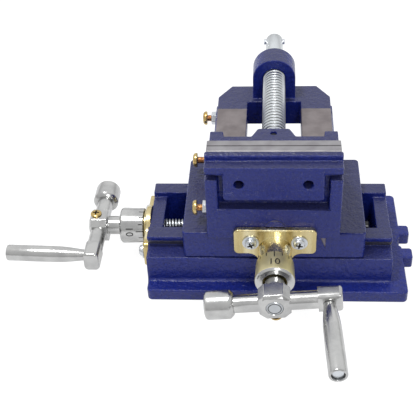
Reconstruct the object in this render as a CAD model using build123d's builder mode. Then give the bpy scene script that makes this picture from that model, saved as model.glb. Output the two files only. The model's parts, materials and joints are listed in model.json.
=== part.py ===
from build123d import *
import math
import os

os.makedirs("parts", exist_ok=True)

# A two-way cross slide vise. X runs across the front, Y runs to the back, Z is up.
# The origin is on the base's underside, where the lines of the two leadscrews cross.

# Gaps between pieces that slide or turn on each other, and between loose neighbours
slide_gap = 0.05
bore_gap = 0.05
loose_gap = 0.4
press_gap = 0.02
blind_gap = 0.3

# Two places closer than this count as one when edges are picked out
same_place = 0.01

# Base: foot, block, two dovetail rails and the channel between them
base_left = -77.0
base_right = 71.0
foot_half = 46.5
foot_height = 8.2
block_half = 37.0
block_draft = 0.8
shoulder_z = 25.6
rail_root_half = 23.4
rail_half = 26.6
rail_land_z = 31.0
rail_top_z = 34.0
channel_half = 16.6
channel_floor_z = 7.0
end_wall = 8.5
end_wall_z = 30.4
flange_length = 9.5
ear_length = 6.1
ear_width = 9.2
ear_corner = 1.8
clamp_slot_width = 12.6
clamp_slot_depth = 8.6
foot_corner = 3.0
cast_edge = 1.0
root_fillet = 2.0

# Leadscrews, their plain shafts and thrust collars
screw_r = 4.5
shaft_r = 4.75
collar_r = 7.4
collar_length = 4.4
x_axis_z = 20.5
y_axis_z = 40.0
y_axis_x = 0.9
x_screw_end = 60.0
screw_end_taper = 1.2
y_screw_end_gap = 1.0

# Saddle: the cross piece between base and vise body
saddle_half = 54.0
saddle_front = -35.3
saddle_back = 37.4
saddle_skirt_z = 26.0
saddle_top_z = 45.2
saddle_corner = 2.5
belly_half_length = 20.0
belly_z = 29.0
ridge_root_half = 17.5
ridge_top_z = 59.9
ridge_step_z = 52.4
dovetail_angle = 60.0
screw_channel_half = 9.0
screw_channel_floor = 34.9
pad_half = 20.0
pad_bottom_z = 31.0
pad_corner = 2.0
pad_neck = 4.0
front_notch_x = 26.0
front_notch_width = 4.6
front_notch_height = 11.6
front_notch_depth = 0.7
front_notch_over = 0.5
ridge_lead = 0.2

# Gib strips with their adjusting screws and lock nuts
gib_thickness = 3.0
gib_end_gap = 0.4
gib_height_gap = 0.3
gib_tip_gap = 0.25
gib_screw_r = 2.2
gib_head_r = 4.6
gib_head_height = 3.0
gib_head_taper = 12
gib_nut_flats = 7.6
gib_nut_height = 3.3
y_gib_screw_z = 56.0
y_gib_screw_y = (-24.9, 22.0, 69.0)
y_gib_screw_stand = (6.6, 9.6, 6.2)
x_gib_screw_z = 28.7
x_gib_screw_x = (-36.0, 0.0, 36.0)
x_gib_screw_stand = 6.5

# Nuts that the leadscrews drive
nut_half = 8.0
nut_length = 15.0
nut_spigot_r = 6.0
nut_spigot_height = 4.4
y_nut_back = -18.0
nut_foot = 5.0
x_nut_foot = 6.5
nut_corner = 1.0

# Vise body: lower block, rails, rear wall with the screw boss, and the fixed jaw
body_margin = 0.9
body_front = -40.1
body_back = 74.8
body_shoulder_z = 62.0
body_roof_back = -17.0
way_under_z = 66.0
way_top_z = 77.4
way_inset = 2.5
way_slot_half = 16.8
rail_wall = 7.9
rear_chamfer_x = 8.3
rear_chamfer_y = 13.0
rear_wall_front = 55.7
rear_wall_bottom = 60.0
boss_front = 59.5
boss_back = 75.4
boss_r = 13.5
front_step_z = 67.0
front_wall = 5.0
pillar_width = 7.0
groove_width = 3.0
pillar_top_z = 88.0
jaw_neck_bottom = 73.4
jaw_neck_corner = 2.0
jaw_wall_y = -33.2
jaw_wing_z = 92.0
jaw_ledge_z = 96.4
jaw_lip_z = 99.7
y_travel = 40.0
front_boss_r = 5.6
front_boss_z = 53.7
front_boss_height = 1.0

# Jaw plates and the clamping screw
jaw_width = 75.0
jaw_top_z = 100.8
jaw_plate_thickness = 5.2
jaw_plate_gap_z = 0.6
jaw_parting_y = -24.9
jaw_screw_x = 19.3
jaw_screw_z = 84.8
jaw_screw_r = 2.5
jaw_hole_r = 2.8
jaw_screw_recess = 3.4
jaw_screw_bite = 3.4
jaw_plate_edge = 0.4
moving_screw_x = 20.8
moving_screw_z = 91.0
jaw_head_r = 4.4
jaw_head_height = 2.8

# Moving jaw: wall, centre boss, two side gussets, foot on the rails, tongue and keeper
moving_wall_back = -15.6
moving_boss_half = 12.5
moving_boss_back_half = 9.0
moving_boss_round = 1.5
moving_boss_back = -8.1
gusset_margin = 1.3
gusset_width = 7.4
gusset_top_back = -11.0
gusset_foot_back = 8.0
moving_foot_height = 7.0
moving_wall_cove = 1.5
gusset_foot_height = 4.2
moving_foot_back = 2.0
tongue_back = -7.0
keeper_side_gap = 2.5
keeper_front = -15.6
keeper_thickness = 4.4
keeper_screw_x = 9.0
keeper_screw_r = 2.2
keeper_screw_depth = 8.0
keeper_head_r = 4.2
keeper_head_sink = 0.1
keeper_corner = 1.5
main_axis_z = 91.8
main_screw_r = 7.0
main_tip_r = 4.5
main_tip_length = 9.2
main_tip_edge = 0.6
main_thread_edge = 1.0
main_groove_r = 3.2
main_groove_width = 3.7
main_groove_y = -12.6
main_thread_end = 77.0
drive_r = 5.65
drive_end = 110.0
drive_dome = 2.2
drive_dome_mid_back = 1.0
drive_dome_mid_r = 4.07
drive_flat_start = 97.5
drive_flat_length = 7.6
drive_flat_depth = 1.1
cross_pin_y = 107.0
cross_pin_r = 1.9
cross_pin_half = 7.0
cross_pin_edge = 0.3
retaining_screw_r = 1.7
retaining_screw_sink = 1.2
retaining_screw_gap = 0.15

# Brackets that carry the leadscrews' outer ends
bracket_height = 18.2
bracket_corner = 3.0
bracket_plate = 3.4
bracket_hub_r = 12.6
bracket_boss_r = 9.6
bracket_web = 6.0
bracket_roll = 0.9
y_bracket_half = 24.0
y_bracket_rise = 5.4
y_bracket_screw_rise = 5.6
y_bracket_screw_x = 14.0
y_bracket_boss = 12.8
x_bracket_half = 25.2
x_bracket_rise = -3.6
x_bracket_screw_rise = -3.6
x_bracket_screw_y = 19.8
x_bracket_boss = 1.3
bracket_screw_r = 2.2
bracket_screw_length = 13.0
bracket_head_r = 3.8
bracket_head_height = 2.6
bracket_head_taper = 18
washer_r = 4.9
washer_thickness = 1.0

# Graduated dials
dial_back_r = 10.9
dial_front_r = 11.3
dial_length = 15.0
dial_rim = 1.8
dial_bore_r = 6.8
dial_bore_depth = 7.0
dial_gap = 0.3
dial_screw_r = 1.9
dial_screw_at = 4.0
dial_screw_sink = 0.9

# Cranks: hub, arm rods, counterweight, end block, grip and its spindle
dial_to_hub = 14.1
hub_width = 17.6
hub_corner = 3.6
hub_half_thickness = 5.6
hub_edge = 1.6
hub_neck_r = 5.8
hub_neck_gap = 1.5
arm_r = 5.1
arm_bite = 4.0
knob_start = 22.5
knob_end = 38.6
knob_r = 8.1
knob_round = 2.2
knob_chamfer = 1.8
block_start = 23.6
block_end = 36.9
block_width = 13.2
block_half_thickness = 4.8
block_round = 2.8
block_end_round = 1.8
grip_offset = 29.6
grip_length = 49.2
grip_neck_r = 3.4
grip_body_r = 5.0
grip_body_start = 18.5
grip_end_chamfer = 0.7
grip_gap = 0.3
grip_bore_r = 2.55
spindle_r = 2.5
spindle_head_r = 3.4
spindle_head = 1.6
grip_recess_depth = 2.6
grip_recess_gap = 0.2
hub_screw_r = 2.5
hub_screw_out = 1.6
hub_screw_length = 4.6
hub_screw_head_r = 3.6
hub_screw_head = 1.6
hub_screw_taper = 15
y_crank_tilt = 5.5
x_crank_tilt = 2.0
y_grip_lean = 2.6
x_grip_lean = -2.2

# Places that follow from the sizes above
body_half = jaw_width / 2 + body_margin
way_half = body_half - way_inset
way_pocket_half = way_half - rail_wall
keeper_half = way_pocket_half - keeper_side_gap
groove_half = body_half - pillar_width
jaw_neck_half = groove_half - groove_width
gusset_outer = jaw_width / 2 - gusset_margin
gusset_inner = gusset_outer - gusset_width
rail_slope = (rail_half - rail_root_half) / (rail_land_z - shoulder_z)
ridge_slope = 1.0 / math.tan(math.radians(dovetail_angle))
ridge_top_half = ridge_root_half + (ridge_top_z - saddle_top_z) * ridge_slope
flange_right = base_right + flange_length
ear_right = flange_right + ear_length
fixed_plate_front = jaw_parting_y - jaw_plate_thickness
moving_plate_back = jaw_parting_y + jaw_plate_thickness
body_bottom_z = saddle_top_z + slide_gap
body_roof_z = ridge_top_z + loose_gap
ridge_front = body_front - ridge_lead
ridge_step_y = body_front + front_wall + y_travel + loose_gap
slot_step_z = ridge_step_z + loose_gap
y_plate_back = ridge_front
x_plate_back = base_left
y_bracket_top = y_axis_z + y_bracket_rise + bracket_height / 2
y_dial_back = bracket_plate + y_bracket_boss + dial_gap
x_dial_back = bracket_plate + x_bracket_boss + dial_gap


def rail_line(gap):
    """Right half of the rails' outline above the shoulder, stood off by a gap."""
    return [
        (rail_half + gap, rail_top_z + gap),
        (rail_half + gap, rail_land_z),
        (rail_root_half + gap, shoulder_z),
    ]


def ridge_edge(z, gap):
    """Half width of the ridge at a height, stood off sideways by a gap."""
    return ridge_root_half + (z - saddle_top_z) * ridge_slope + gap


# Base: a casting with a foot, a block and two dovetail rails, and clamp ears at the right end
with BuildPart() as base:
    with BuildSketch() as foot:
        with Locations((base_left, 0)):
            Rectangle(flange_right - base_left, 2 * foot_half, align=(Align.MIN, Align.CENTER))
        fillet(foot.vertices(), radius=foot_corner)
        for side in (-1, 1):
            with Locations((flange_right - 1, side * (clamp_slot_width + ear_width) / 2)):
                Rectangle(ear_length + 1, ear_width, align=(Align.MIN, Align.CENTER))
        fillet(foot.vertices().group_by(Axis.X)[-1], radius=ear_corner)
        with Locations((ear_right - clamp_slot_depth + clamp_slot_width / 2, 0)):
            Circle(clamp_slot_width / 2, mode=Mode.SUBTRACT)
            Rectangle(
                clamp_slot_depth, clamp_slot_width, align=(Align.MIN, Align.CENTER), mode=Mode.SUBTRACT
            )
    extrude(amount=foot_height)
    fillet(base.faces().sort_by(Axis.Z)[-1].edges(), radius=cast_edge)
    # block and rails, drawn from the left end
    with BuildSketch(Plane.YZ.offset(base_left)):
        with BuildLine():
            Polyline(
                (0, foot_height / 2),
                (block_half, foot_height / 2),
                (block_half, foot_height),
                (block_half - block_draft, shoulder_z),
                (rail_root_half, shoulder_z),
                (rail_half, rail_land_z),
                (rail_half, rail_top_z),
                (0, rail_top_z),
            )
            mirror(about=Plane.YZ)
        make_face()
    extrude(amount=base_right - base_left)
    root_edges = base.edges().filter_by(Axis.X).filter_by(
        lambda e: abs(abs(e.center().Y) - block_half) < same_place and abs(e.center().Z - foot_height) < same_place
    )
    fillet(root_edges, radius=root_fillet)
    shoulder_edges = base.edges().filter_by(Axis.X).filter_by(
        lambda e: abs(e.center().Z - shoulder_z) < same_place and abs(e.center().Y) > rail_half
    )
    fillet(shoulder_edges, radius=cast_edge)
    # channel for the leadscrew, and a lower top on both end walls
    with BuildSketch(Plane.XY.offset(channel_floor_z)):
        with Locations(((base_left + base_right) / 2, 0)):
            Rectangle(base_right - base_left - 2 * end_wall, 2 * channel_half)
    extrude(amount=rail_top_z, mode=Mode.SUBTRACT)
    with BuildSketch(Plane.XY.offset(end_wall_z)):
        with Locations(((base_left + base_right) / 2, 0)):
            Rectangle(base_right - base_left, 2 * channel_half)
    extrude(amount=rail_top_z, mode=Mode.SUBTRACT)
    # bore for the thrust collar, open to the left, and the smaller bore behind it
    with BuildSketch(Plane.YZ.offset(base_left)):
        with Locations((0, x_axis_z)):
            Circle(collar_r + loose_gap)
    extrude(amount=collar_length + loose_gap, mode=Mode.SUBTRACT)
    with BuildSketch(Plane.YZ.offset(base_left)):
        with Locations((0, x_axis_z)):
            Circle(screw_r + loose_gap)
    extrude(amount=end_wall + 1, mode=Mode.SUBTRACT)
    # tapped holes for the bracket screws
    with BuildSketch(Plane.YZ.offset(base_left)):
        with Locations(
            (-x_bracket_screw_y, x_axis_z + x_bracket_screw_rise),
            (x_bracket_screw_y, x_axis_z + x_bracket_screw_rise),
        ):
            Circle(bracket_screw_r + bore_gap)
    extrude(amount=bracket_screw_length, mode=Mode.SUBTRACT)
base.part.label = "base"
export_step(base.part, "parts/base.step")

# Saddle: rides on the base's rails and carries the body on a dovetail ridge
with BuildPart() as saddle:
    with BuildSketch(Plane.XZ.offset(-saddle_back)):
        with Locations((0, (saddle_skirt_z + saddle_top_z) / 2)):
            Rectangle(2 * saddle_half, saddle_top_z - saddle_skirt_z)
    extrude(amount=saddle_back - saddle_front)
    fillet(saddle.edges().filter_by(Axis.Z), radius=saddle_corner)
    fillet(saddle.faces().sort_by(Axis.Z)[-1].edges(), radius=cast_edge)
    # female dovetail over the rails, with room for the gib on the back side
    front = rail_line(slide_gap)
    back = rail_line(slide_gap)
    with BuildSketch(Plane.YZ.offset(-saddle_half - 1)):
        with BuildLine():
            Polyline(
                (-front[0][0], front[0][1]),
                (-front[1][0], front[1][1]),
                (-front[2][0] + rail_slope, shoulder_z - 1),
                (back[2][0] - rail_slope + gib_thickness + 2 * slide_gap, shoulder_z - 1),
                (back[1][0] + gib_thickness + 2 * slide_gap, back[1][1]),
                (back[0][0] + gib_thickness + 2 * slide_gap, back[0][1]),
                (-front[0][0], front[0][1]),
            )
        make_face()
    extrude(amount=2 * saddle_half + 2, mode=Mode.SUBTRACT)
    # belly between the rails, which holds the cross nut
    with BuildSketch(Plane.XY.offset(belly_z)):
        Rectangle(2 * belly_half_length, 2 * (channel_half - 1))
    extrude(amount=saddle_top_z - belly_z)
    # dovetail ridge for the body
    with BuildSketch(Plane.XZ.offset(-saddle_back)):
        with BuildLine():
            Polyline(
                (-ridge_root_half, saddle_top_z - 1),
                (-ridge_root_half, saddle_top_z),
                (-ridge_top_half, ridge_top_z),
                (ridge_top_half, ridge_top_z),
                (ridge_root_half, saddle_top_z),
                (ridge_root_half, saddle_top_z - 1),
                (-ridge_root_half, saddle_top_z - 1),
            )
        make_face()
    extrude(amount=saddle_back - ridge_front)
    # the ridge's upper part starts further back, so that the body's front wall can pass
    with BuildSketch(Plane.XY.offset(ridge_step_z)):
        with Locations((0, ridge_front)):
            Rectangle(2 * ridge_top_half + 1, ridge_step_y - ridge_front, align=(Align.CENTER, Align.MIN))
    extrude(amount=ridge_top_z, mode=Mode.SUBTRACT)
    # pad in front, which the bracket bolts against
    with BuildSketch(Plane.XZ.offset(-saddle_front - 1)):
        with Locations((0, (pad_bottom_z + saddle_top_z) / 2)):
            RectangleRounded(2 * pad_half, saddle_top_z - pad_bottom_z, pad_corner)
        with Locations((0, saddle_top_z - pad_neck / 2)):
            Rectangle(2 * ridge_root_half, pad_neck)
    extrude(amount=saddle_front + 1 - ridge_front)
    # channel for the lengthways leadscrew and its nut
    with BuildSketch(Plane.XZ.offset(-saddle_back - 1)):
        with Locations((y_axis_x, (screw_channel_floor + ridge_top_z + 1) / 2)):
            Rectangle(2 * screw_channel_half, ridge_top_z + 1 - screw_channel_floor)
    extrude(amount=saddle_back + 2 - ridge_front, mode=Mode.SUBTRACT)
    # counterbore for the thrust collar
    with BuildSketch(Plane.XZ.offset(-ridge_front)):
        with Locations((y_axis_x, y_axis_z)):
            Circle(collar_r + loose_gap)
    extrude(amount=-collar_length - loose_gap, mode=Mode.SUBTRACT)
    # tapped holes for the bracket screws
    with BuildSketch(Plane.XZ.offset(-ridge_front)):
        with Locations(
            (y_axis_x - y_bracket_screw_x, y_axis_z + y_bracket_screw_rise),
            (y_axis_x + y_bracket_screw_x, y_axis_z + y_bracket_screw_rise),
        ):
            Circle(bracket_screw_r + bore_gap)
    extrude(amount=-bracket_screw_length, mode=Mode.SUBTRACT)
    # seat for the cross nut's spigot
    with BuildSketch(Plane.XY.offset(belly_z)):
        Circle(nut_spigot_r + bore_gap)
    extrude(amount=nut_spigot_height + blind_gap, mode=Mode.SUBTRACT)
    # gib screw holes in the back skirt
    with BuildSketch(Plane.XZ.offset(-saddle_back)):
        with Locations([(x, x_gib_screw_z) for x in x_gib_screw_x]):
            Circle(gib_screw_r + bore_gap)
    extrude(amount=saddle_back - rail_half, mode=Mode.SUBTRACT)
    # small machined notch beside the bracket, left by the dovetail cutter
    with BuildSketch(Plane.XZ.offset(-saddle_front)):
        with BuildLine():
            Polyline(
                (front_notch_x, saddle_top_z + front_notch_over),
                (front_notch_x + front_notch_width, saddle_top_z + front_notch_over),
                (front_notch_x + front_notch_width, saddle_top_z - front_notch_height),
                (front_notch_x, saddle_top_z + front_notch_over),
            )
        make_face()
    extrude(amount=-front_notch_depth, mode=Mode.SUBTRACT)
saddle.part.label = "saddle"
export_step(saddle.part, "parts/saddle.step")

# Vise body: slides on the saddle's ridge and carries the fixed jaw, the rails and the screw boss
with BuildPart() as vise_body:
    # lower block and rails, drawn from the front and run along Y
    with BuildSketch(Plane.XZ.offset(-body_back)):
        with BuildLine():
            Polyline(
                (0, body_bottom_z),
                (body_half, body_bottom_z),
                (body_half, body_shoulder_z),
                (way_half, way_under_z),
                (way_half, way_top_z),
                (0, way_top_z),
            )
            mirror(about=Plane.YZ)
        make_face()
    extrude(amount=body_back - jaw_wall_y)
    # fixed jaw: its wall, drawn from the side
    with BuildSketch(Plane.YZ.offset(-body_half)):
        with BuildLine():
            Polyline(
                (fixed_plate_front, body_shoulder_z),
                (fixed_plate_front, jaw_top_z),
                (jaw_wall_y, jaw_lip_z),
                (jaw_wall_y, body_shoulder_z),
                (fixed_plate_front, body_shoulder_z),
            )
        make_face()
    extrude(amount=2 * body_half)
    # fixed jaw: front panel with a groove around the neck and under the two wings
    with BuildSketch(Plane.XZ.offset(-jaw_wall_y)) as panel:
        with Locations((0, (body_bottom_z + pillar_top_z) / 2)):
            Rectangle(2 * body_half, pillar_top_z - body_bottom_z)
        with Locations((0, (front_step_z + pillar_top_z) / 2)):
            Rectangle(2 * groove_half, pillar_top_z - front_step_z, mode=Mode.SUBTRACT)
        with Locations((0, (jaw_neck_bottom + jaw_ledge_z) / 2)):
            Rectangle(2 * jaw_neck_half, jaw_ledge_z - jaw_neck_bottom)
        with Locations((0, (jaw_wing_z + jaw_ledge_z) / 2)):
            Rectangle(2 * body_half, jaw_ledge_z - jaw_wing_z)
        fillet([v for v in panel.vertices() if abs(v.Y - jaw_neck_bottom) < same_place], radius=jaw_neck_corner)
    extrude(amount=jaw_wall_y - body_front)
    front_edges = vise_body.edges().filter_by(Axis.Z).filter_by(
        lambda e: abs(e.center().Y - body_front) < same_place
    )
    fillet(front_edges, radius=cast_edge)
    # slot between the rails, open down through the body behind the roof
    with BuildSketch(Plane.XY.offset(way_under_z)):
        with Locations((0, (jaw_parting_y + rear_wall_front) / 2)):
            Rectangle(2 * way_slot_half, rear_wall_front - jaw_parting_y)
    extrude(amount=way_top_z - way_under_z + 1, mode=Mode.SUBTRACT)
    with BuildSketch(Plane.XY.offset(body_bottom_z - 1)):
        with Locations((0, (body_roof_back + rear_wall_front) / 2)):
            Rectangle(2 * way_slot_half, rear_wall_front - body_roof_back)
    extrude(amount=way_under_z - body_bottom_z + 2, mode=Mode.SUBTRACT)
    # pocket under the rails for the keeper
    with BuildSketch(Plane.XY.offset(body_roof_z - 1)):
        with Locations((0, (body_roof_back + body_back + 1) / 2)):
            Rectangle(2 * way_pocket_half, body_back + 1 - body_roof_back)
    extrude(amount=way_under_z - body_roof_z + 1, mode=Mode.SUBTRACT)
    # rear wall hangs a little way down between the rails
    with BuildSketch(Plane.XY.offset(rear_wall_bottom)):
        with Locations((0, (rear_wall_front + body_back) / 2)):
            Rectangle(2 * way_pocket_half, body_back - rear_wall_front)
    extrude(amount=way_under_z - rear_wall_bottom)
    # female dovetail for the saddle's ridge, with room for the gib on the left
    left_offset = gib_thickness + 2 * slide_gap
    with BuildSketch(Plane.XZ.offset(-body_front - front_wall)):
        with BuildLine():
            Polyline(
                (ridge_edge(body_bottom_z - 1, slide_gap), body_bottom_z - 1),
                (ridge_edge(slot_step_z, slide_gap), slot_step_z),
                (-ridge_edge(slot_step_z, slide_gap), slot_step_z),
                (-ridge_edge(body_bottom_z - 1, slide_gap), body_bottom_z - 1),
                (ridge_edge(body_bottom_z - 1, slide_gap), body_bottom_z - 1),
            )
        make_face()
    extrude(amount=front_wall + 1, mode=Mode.SUBTRACT)
    with BuildSketch(Plane.XZ.offset(-body_back - 1)):
        with BuildLine():
            Polyline(
                (ridge_edge(body_bottom_z - 1, slide_gap), body_bottom_z - 1),
                (ridge_edge(body_roof_z, slide_gap), body_roof_z),
                (-ridge_edge(body_roof_z, left_offset + slide_gap), body_roof_z),
                (-ridge_edge(body_bottom_z - 1, left_offset + slide_gap), body_bottom_z - 1),
                (ridge_edge(body_bottom_z - 1, slide_gap), body_bottom_z - 1),
            )
        make_face()
    extrude(amount=body_back + 1 - body_front - front_wall, mode=Mode.SUBTRACT)
    # seat for the lengthways nut's spigot in the roof
    with BuildSketch(Plane.XY.offset(body_roof_z)):
        with Locations((y_axis_x, y_nut_back - nut_length / 2)):
            Circle(nut_spigot_r + bore_gap)
    extrude(amount=nut_spigot_height + blind_gap, mode=Mode.SUBTRACT)
    # screw boss on the rear wall, an arch over the screw, and its bore
    with BuildSketch(Plane.XZ.offset(-boss_back)):
        with Locations((0, main_axis_z)):
            Circle(boss_r)
        with Locations((0, (way_top_z - 2 + main_axis_z) / 2)):
            Rectangle(2 * boss_r, main_axis_z - way_top_z + 2)
    extrude(amount=boss_back - boss_front)
    with BuildSketch(Plane.XZ.offset(-boss_back - 1)):
        with Locations((0, main_axis_z)):
            Circle(main_screw_r + bore_gap)
    extrude(amount=boss_back - boss_front + 2, mode=Mode.SUBTRACT)
    # chamfered back corners of the rails
    with BuildSketch(Plane.XY.offset(body_shoulder_z)):
        with BuildLine():
            Polyline(
                (way_half - rear_chamfer_x, body_back + 1),
                (way_half - rear_chamfer_x, body_back),
                (way_half, body_back - rear_chamfer_y),
                (body_half + 1, body_back - rear_chamfer_y),
                (body_half + 1, body_back + 1),
                (way_half - rear_chamfer_x, body_back + 1),
            )
        make_face()
        mirror(about=Plane.YZ)
    extrude(amount=way_top_z - body_shoulder_z + 1, mode=Mode.SUBTRACT)
    # half-round boss low on the front face, cut off just above the bracket
    with BuildSketch(Plane.XZ.offset(-body_front)):
        with Locations((y_axis_x, front_boss_z)):
            Circle(front_boss_r)
        with Locations((y_axis_x, y_bracket_top + loose_gap)):
            Rectangle(
                2 * front_boss_r, 2 * front_boss_r, align=(Align.CENTER, Align.MAX), mode=Mode.SUBTRACT
            )
    extrude(amount=front_boss_height)
    # holes for the fixed plate's screws
    with BuildSketch(Plane.XZ.offset(-fixed_plate_front - 1)):
        with Locations((-jaw_screw_x, jaw_screw_z), (jaw_screw_x, jaw_screw_z)):
            Circle(jaw_hole_r)
    extrude(amount=fixed_plate_front + 2 - body_front, mode=Mode.SUBTRACT)
    # tapped holes for the three gib screws in the left side
    with BuildSketch(Plane.YZ.offset(-body_half)):
        with Locations([(y, y_gib_screw_z) for y in y_gib_screw_y]):
            Circle(gib_screw_r + bore_gap)
    extrude(amount=body_half - ridge_root_half, mode=Mode.SUBTRACT)
vise_body.part.label = "vise_body"
export_step(vise_body.part, "parts/vise_body.step")

# Moving jaw: slides on the body's rails, pushed by the clamping screw
with BuildPart() as moving_jaw:
    foot_z = way_top_z + slide_gap
    with BuildSketch(Plane.YZ.offset(-gusset_outer)):
        with BuildLine():
            Polyline(
                (moving_plate_back, foot_z),
                (moving_plate_back, jaw_top_z),
                (moving_wall_back, jaw_top_z),
                (moving_wall_back, foot_z + moving_foot_height + moving_wall_cove),
                (moving_wall_back + moving_wall_cove, foot_z + moving_foot_height),
                (moving_boss_back, foot_z + moving_foot_height),
                (moving_boss_back, foot_z),
                (moving_plate_back, foot_z),
            )
        make_face()
    extrude(amount=2 * gusset_outer)
    # side gussets, which reach back along the rails
    for side in (-1, 1):
        with BuildSketch(Plane.YZ.offset(side * (gusset_inner + gusset_outer) / 2)):
            with BuildLine():
                Polyline(
                    (moving_plate_back, foot_z),
                    (moving_plate_back, jaw_top_z),
                    (gusset_top_back, jaw_top_z),
                    (gusset_foot_back, foot_z + gusset_foot_height),
                    (gusset_foot_back, foot_z),
                    (moving_plate_back, foot_z),
                )
            make_face()
        extrude(amount=(gusset_outer - gusset_inner) / 2, both=True)
    # foot pads on the rails, beside the screw
    with BuildSketch(Plane.XY.offset(foot_z)):
        with Locations((0, (moving_boss_back + moving_foot_back) / 2)):
            Rectangle(2 * gusset_outer, moving_foot_back - moving_boss_back)
            Rectangle(
                2 * way_slot_half, moving_foot_back - moving_boss_back, mode=Mode.SUBTRACT
            )
    extrude(amount=gusset_foot_height)
    # centre boss around the screw's tip
    with BuildSketch(Plane.XY.offset(foot_z)) as centre_boss:
        with BuildLine():
            Polyline(
                (-moving_boss_half, moving_plate_back),
                (-moving_boss_half, moving_wall_back),
                (-moving_boss_back_half, moving_boss_back),
                (moving_boss_back_half, moving_boss_back),
                (moving_boss_half, moving_wall_back),
                (moving_boss_half, moving_plate_back),
                (-moving_boss_half, moving_plate_back),
            )
        make_face()
        fillet(centre_boss.vertices().group_by(Axis.Y)[-1], radius=moving_boss_round)
    extrude(amount=jaw_top_z - foot_z)
    # tongue in the slot between the rails
    with BuildSketch(Plane.XY.offset(way_under_z + slide_gap)):
        with Locations((0, (keeper_front + tongue_back) / 2)):
            Rectangle(2 * (way_slot_half - slide_gap), tongue_back - keeper_front)
    extrude(amount=foot_z + 1 - way_under_z - slide_gap)
    # blind bore for the screw's tip, and the retaining screw's hole above it
    with BuildSketch(Plane.XZ.offset(-moving_boss_back)):
        with Locations((0, main_axis_z)):
            Circle(main_tip_r + bore_gap)
    extrude(amount=main_tip_length + blind_gap, mode=Mode.SUBTRACT)
    with BuildSketch(Plane.XY.offset(main_axis_z)):
        with Locations((0, main_groove_y)):
            Circle(retaining_screw_r + bore_gap)
    extrude(amount=jaw_top_z - main_axis_z + 1, mode=Mode.SUBTRACT)
    # holes for the plate's screws
    with BuildSketch(Plane.XZ.offset(-moving_wall_back)):
        with Locations((-moving_screw_x, moving_screw_z), (moving_screw_x, moving_screw_z)):
            Circle(jaw_screw_r + bore_gap)
    extrude(amount=moving_wall_back - moving_plate_back + 1, mode=Mode.SUBTRACT)
    # tapped holes for the keeper's screws
    with BuildSketch(Plane.XY.offset(way_under_z)):
        with Locations(
            (-keeper_screw_x, (keeper_front + tongue_back) / 2),
            (keeper_screw_x, (keeper_front + tongue_back) / 2),
        ):
            Circle(keeper_screw_r + bore_gap)
    extrude(amount=keeper_screw_depth + blind_gap, mode=Mode.SUBTRACT)
moving_jaw.part.label = "moving_jaw"
export_step(moving_jaw.part, "parts/moving_jaw.step")

# Keeper: the plate under the rails that holds the moving jaw down
keeper_top = way_under_z - slide_gap
keeper_mid_y = (keeper_front + tongue_back) / 2
with BuildPart() as jaw_keeper:
    with BuildSketch(Plane.XY.offset(keeper_top - keeper_thickness)):
        with Locations((0, keeper_mid_y)):
            RectangleRounded(2 * keeper_half, tongue_back - keeper_front, keeper_corner)
    extrude(amount=keeper_thickness)
    with BuildSketch(Plane.XY.offset(keeper_top)):
        with Locations((0, keeper_mid_y)):
            Rectangle(2 * (way_slot_half - slide_gap), tongue_back - keeper_front)
    extrude(amount=2 * slide_gap)
    with Locations(
        Location((-keeper_screw_x, keeper_mid_y, keeper_top - keeper_thickness), (180, 0, 0)),
        Location((keeper_screw_x, keeper_mid_y, keeper_top - keeper_thickness), (180, 0, 0)),
    ):
        CounterSinkHole(keeper_screw_r + bore_gap, keeper_head_r, depth=2 * keeper_thickness)
jaw_keeper.part.label = "jaw_keeper"
export_step(jaw_keeper.part, "parts/jaw_keeper.step")

with BuildPart() as jaw_keeper_screws:
    for x in (-keeper_screw_x, keeper_screw_x):
        head_z = keeper_top - keeper_thickness + keeper_head_sink
        cone_top_z = keeper_top - keeper_thickness + keeper_head_r - keeper_screw_r - keeper_head_sink
        with BuildSketch(Plane.XZ.offset(-keeper_mid_y)):
            with BuildLine():
                Polyline(
                    (x, head_z),
                    (x + keeper_head_r - 2 * keeper_head_sink, head_z),
                    (x + keeper_screw_r, cone_top_z),
                    (x + keeper_screw_r, way_under_z + keeper_screw_depth),
                    (x, way_under_z + keeper_screw_depth),
                    (x, head_z),
                )
            make_face()
        revolve(axis=Axis((x, keeper_mid_y, 0), (0, 0, 1)))
jaw_keeper_screws.part.label = "jaw_keeper_screws"
export_step(jaw_keeper_screws.part, "parts/jaw_keeper_screws.step")

# Jaw plates: two ground steel bars that meet when the vise is shut
plate_bottom = way_top_z + jaw_plate_gap_z
with BuildPart() as fixed_jaw_plate:
    with BuildSketch(Plane.XZ.offset(-jaw_parting_y)):
        with Locations((0, (plate_bottom + jaw_top_z) / 2)):
            Rectangle(jaw_width, jaw_top_z - plate_bottom)
    extrude(amount=jaw_plate_thickness)
    top_edges = fixed_jaw_plate.edges().filter_by(Axis.X).group_by(Axis.Z)[-1]
    chamfer(top_edges.sort_by(Axis.Y)[0], length=jaw_plate_edge)
    with BuildSketch(Plane.XZ.offset(-fixed_plate_front)):
        with Locations((-jaw_screw_x, jaw_screw_z), (jaw_screw_x, jaw_screw_z)):
            Circle(jaw_screw_r + bore_gap)
    extrude(amount=-jaw_screw_bite - blind_gap, mode=Mode.SUBTRACT)
fixed_jaw_plate.part.label = "fixed_jaw_plate"
export_step(fixed_jaw_plate.part, "parts/fixed_jaw_plate.step")

with BuildPart() as moving_jaw_plate:
    with BuildSketch(Plane.XZ.offset(-moving_plate_back)):
        with Locations((0, (plate_bottom + jaw_top_z) / 2)):
            Rectangle(jaw_width, jaw_top_z - plate_bottom)
    extrude(amount=jaw_plate_thickness - slide_gap)
    with BuildSketch(Plane.XZ.offset(-moving_plate_back)):
        with Locations((-moving_screw_x, moving_screw_z), (moving_screw_x, moving_screw_z)):
            Circle(jaw_screw_r + bore_gap)
    extrude(amount=jaw_screw_bite + blind_gap, mode=Mode.SUBTRACT)
moving_jaw_plate.part.label = "moving_jaw_plate"
export_step(moving_jaw_plate.part, "parts/moving_jaw_plate.step")

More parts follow.
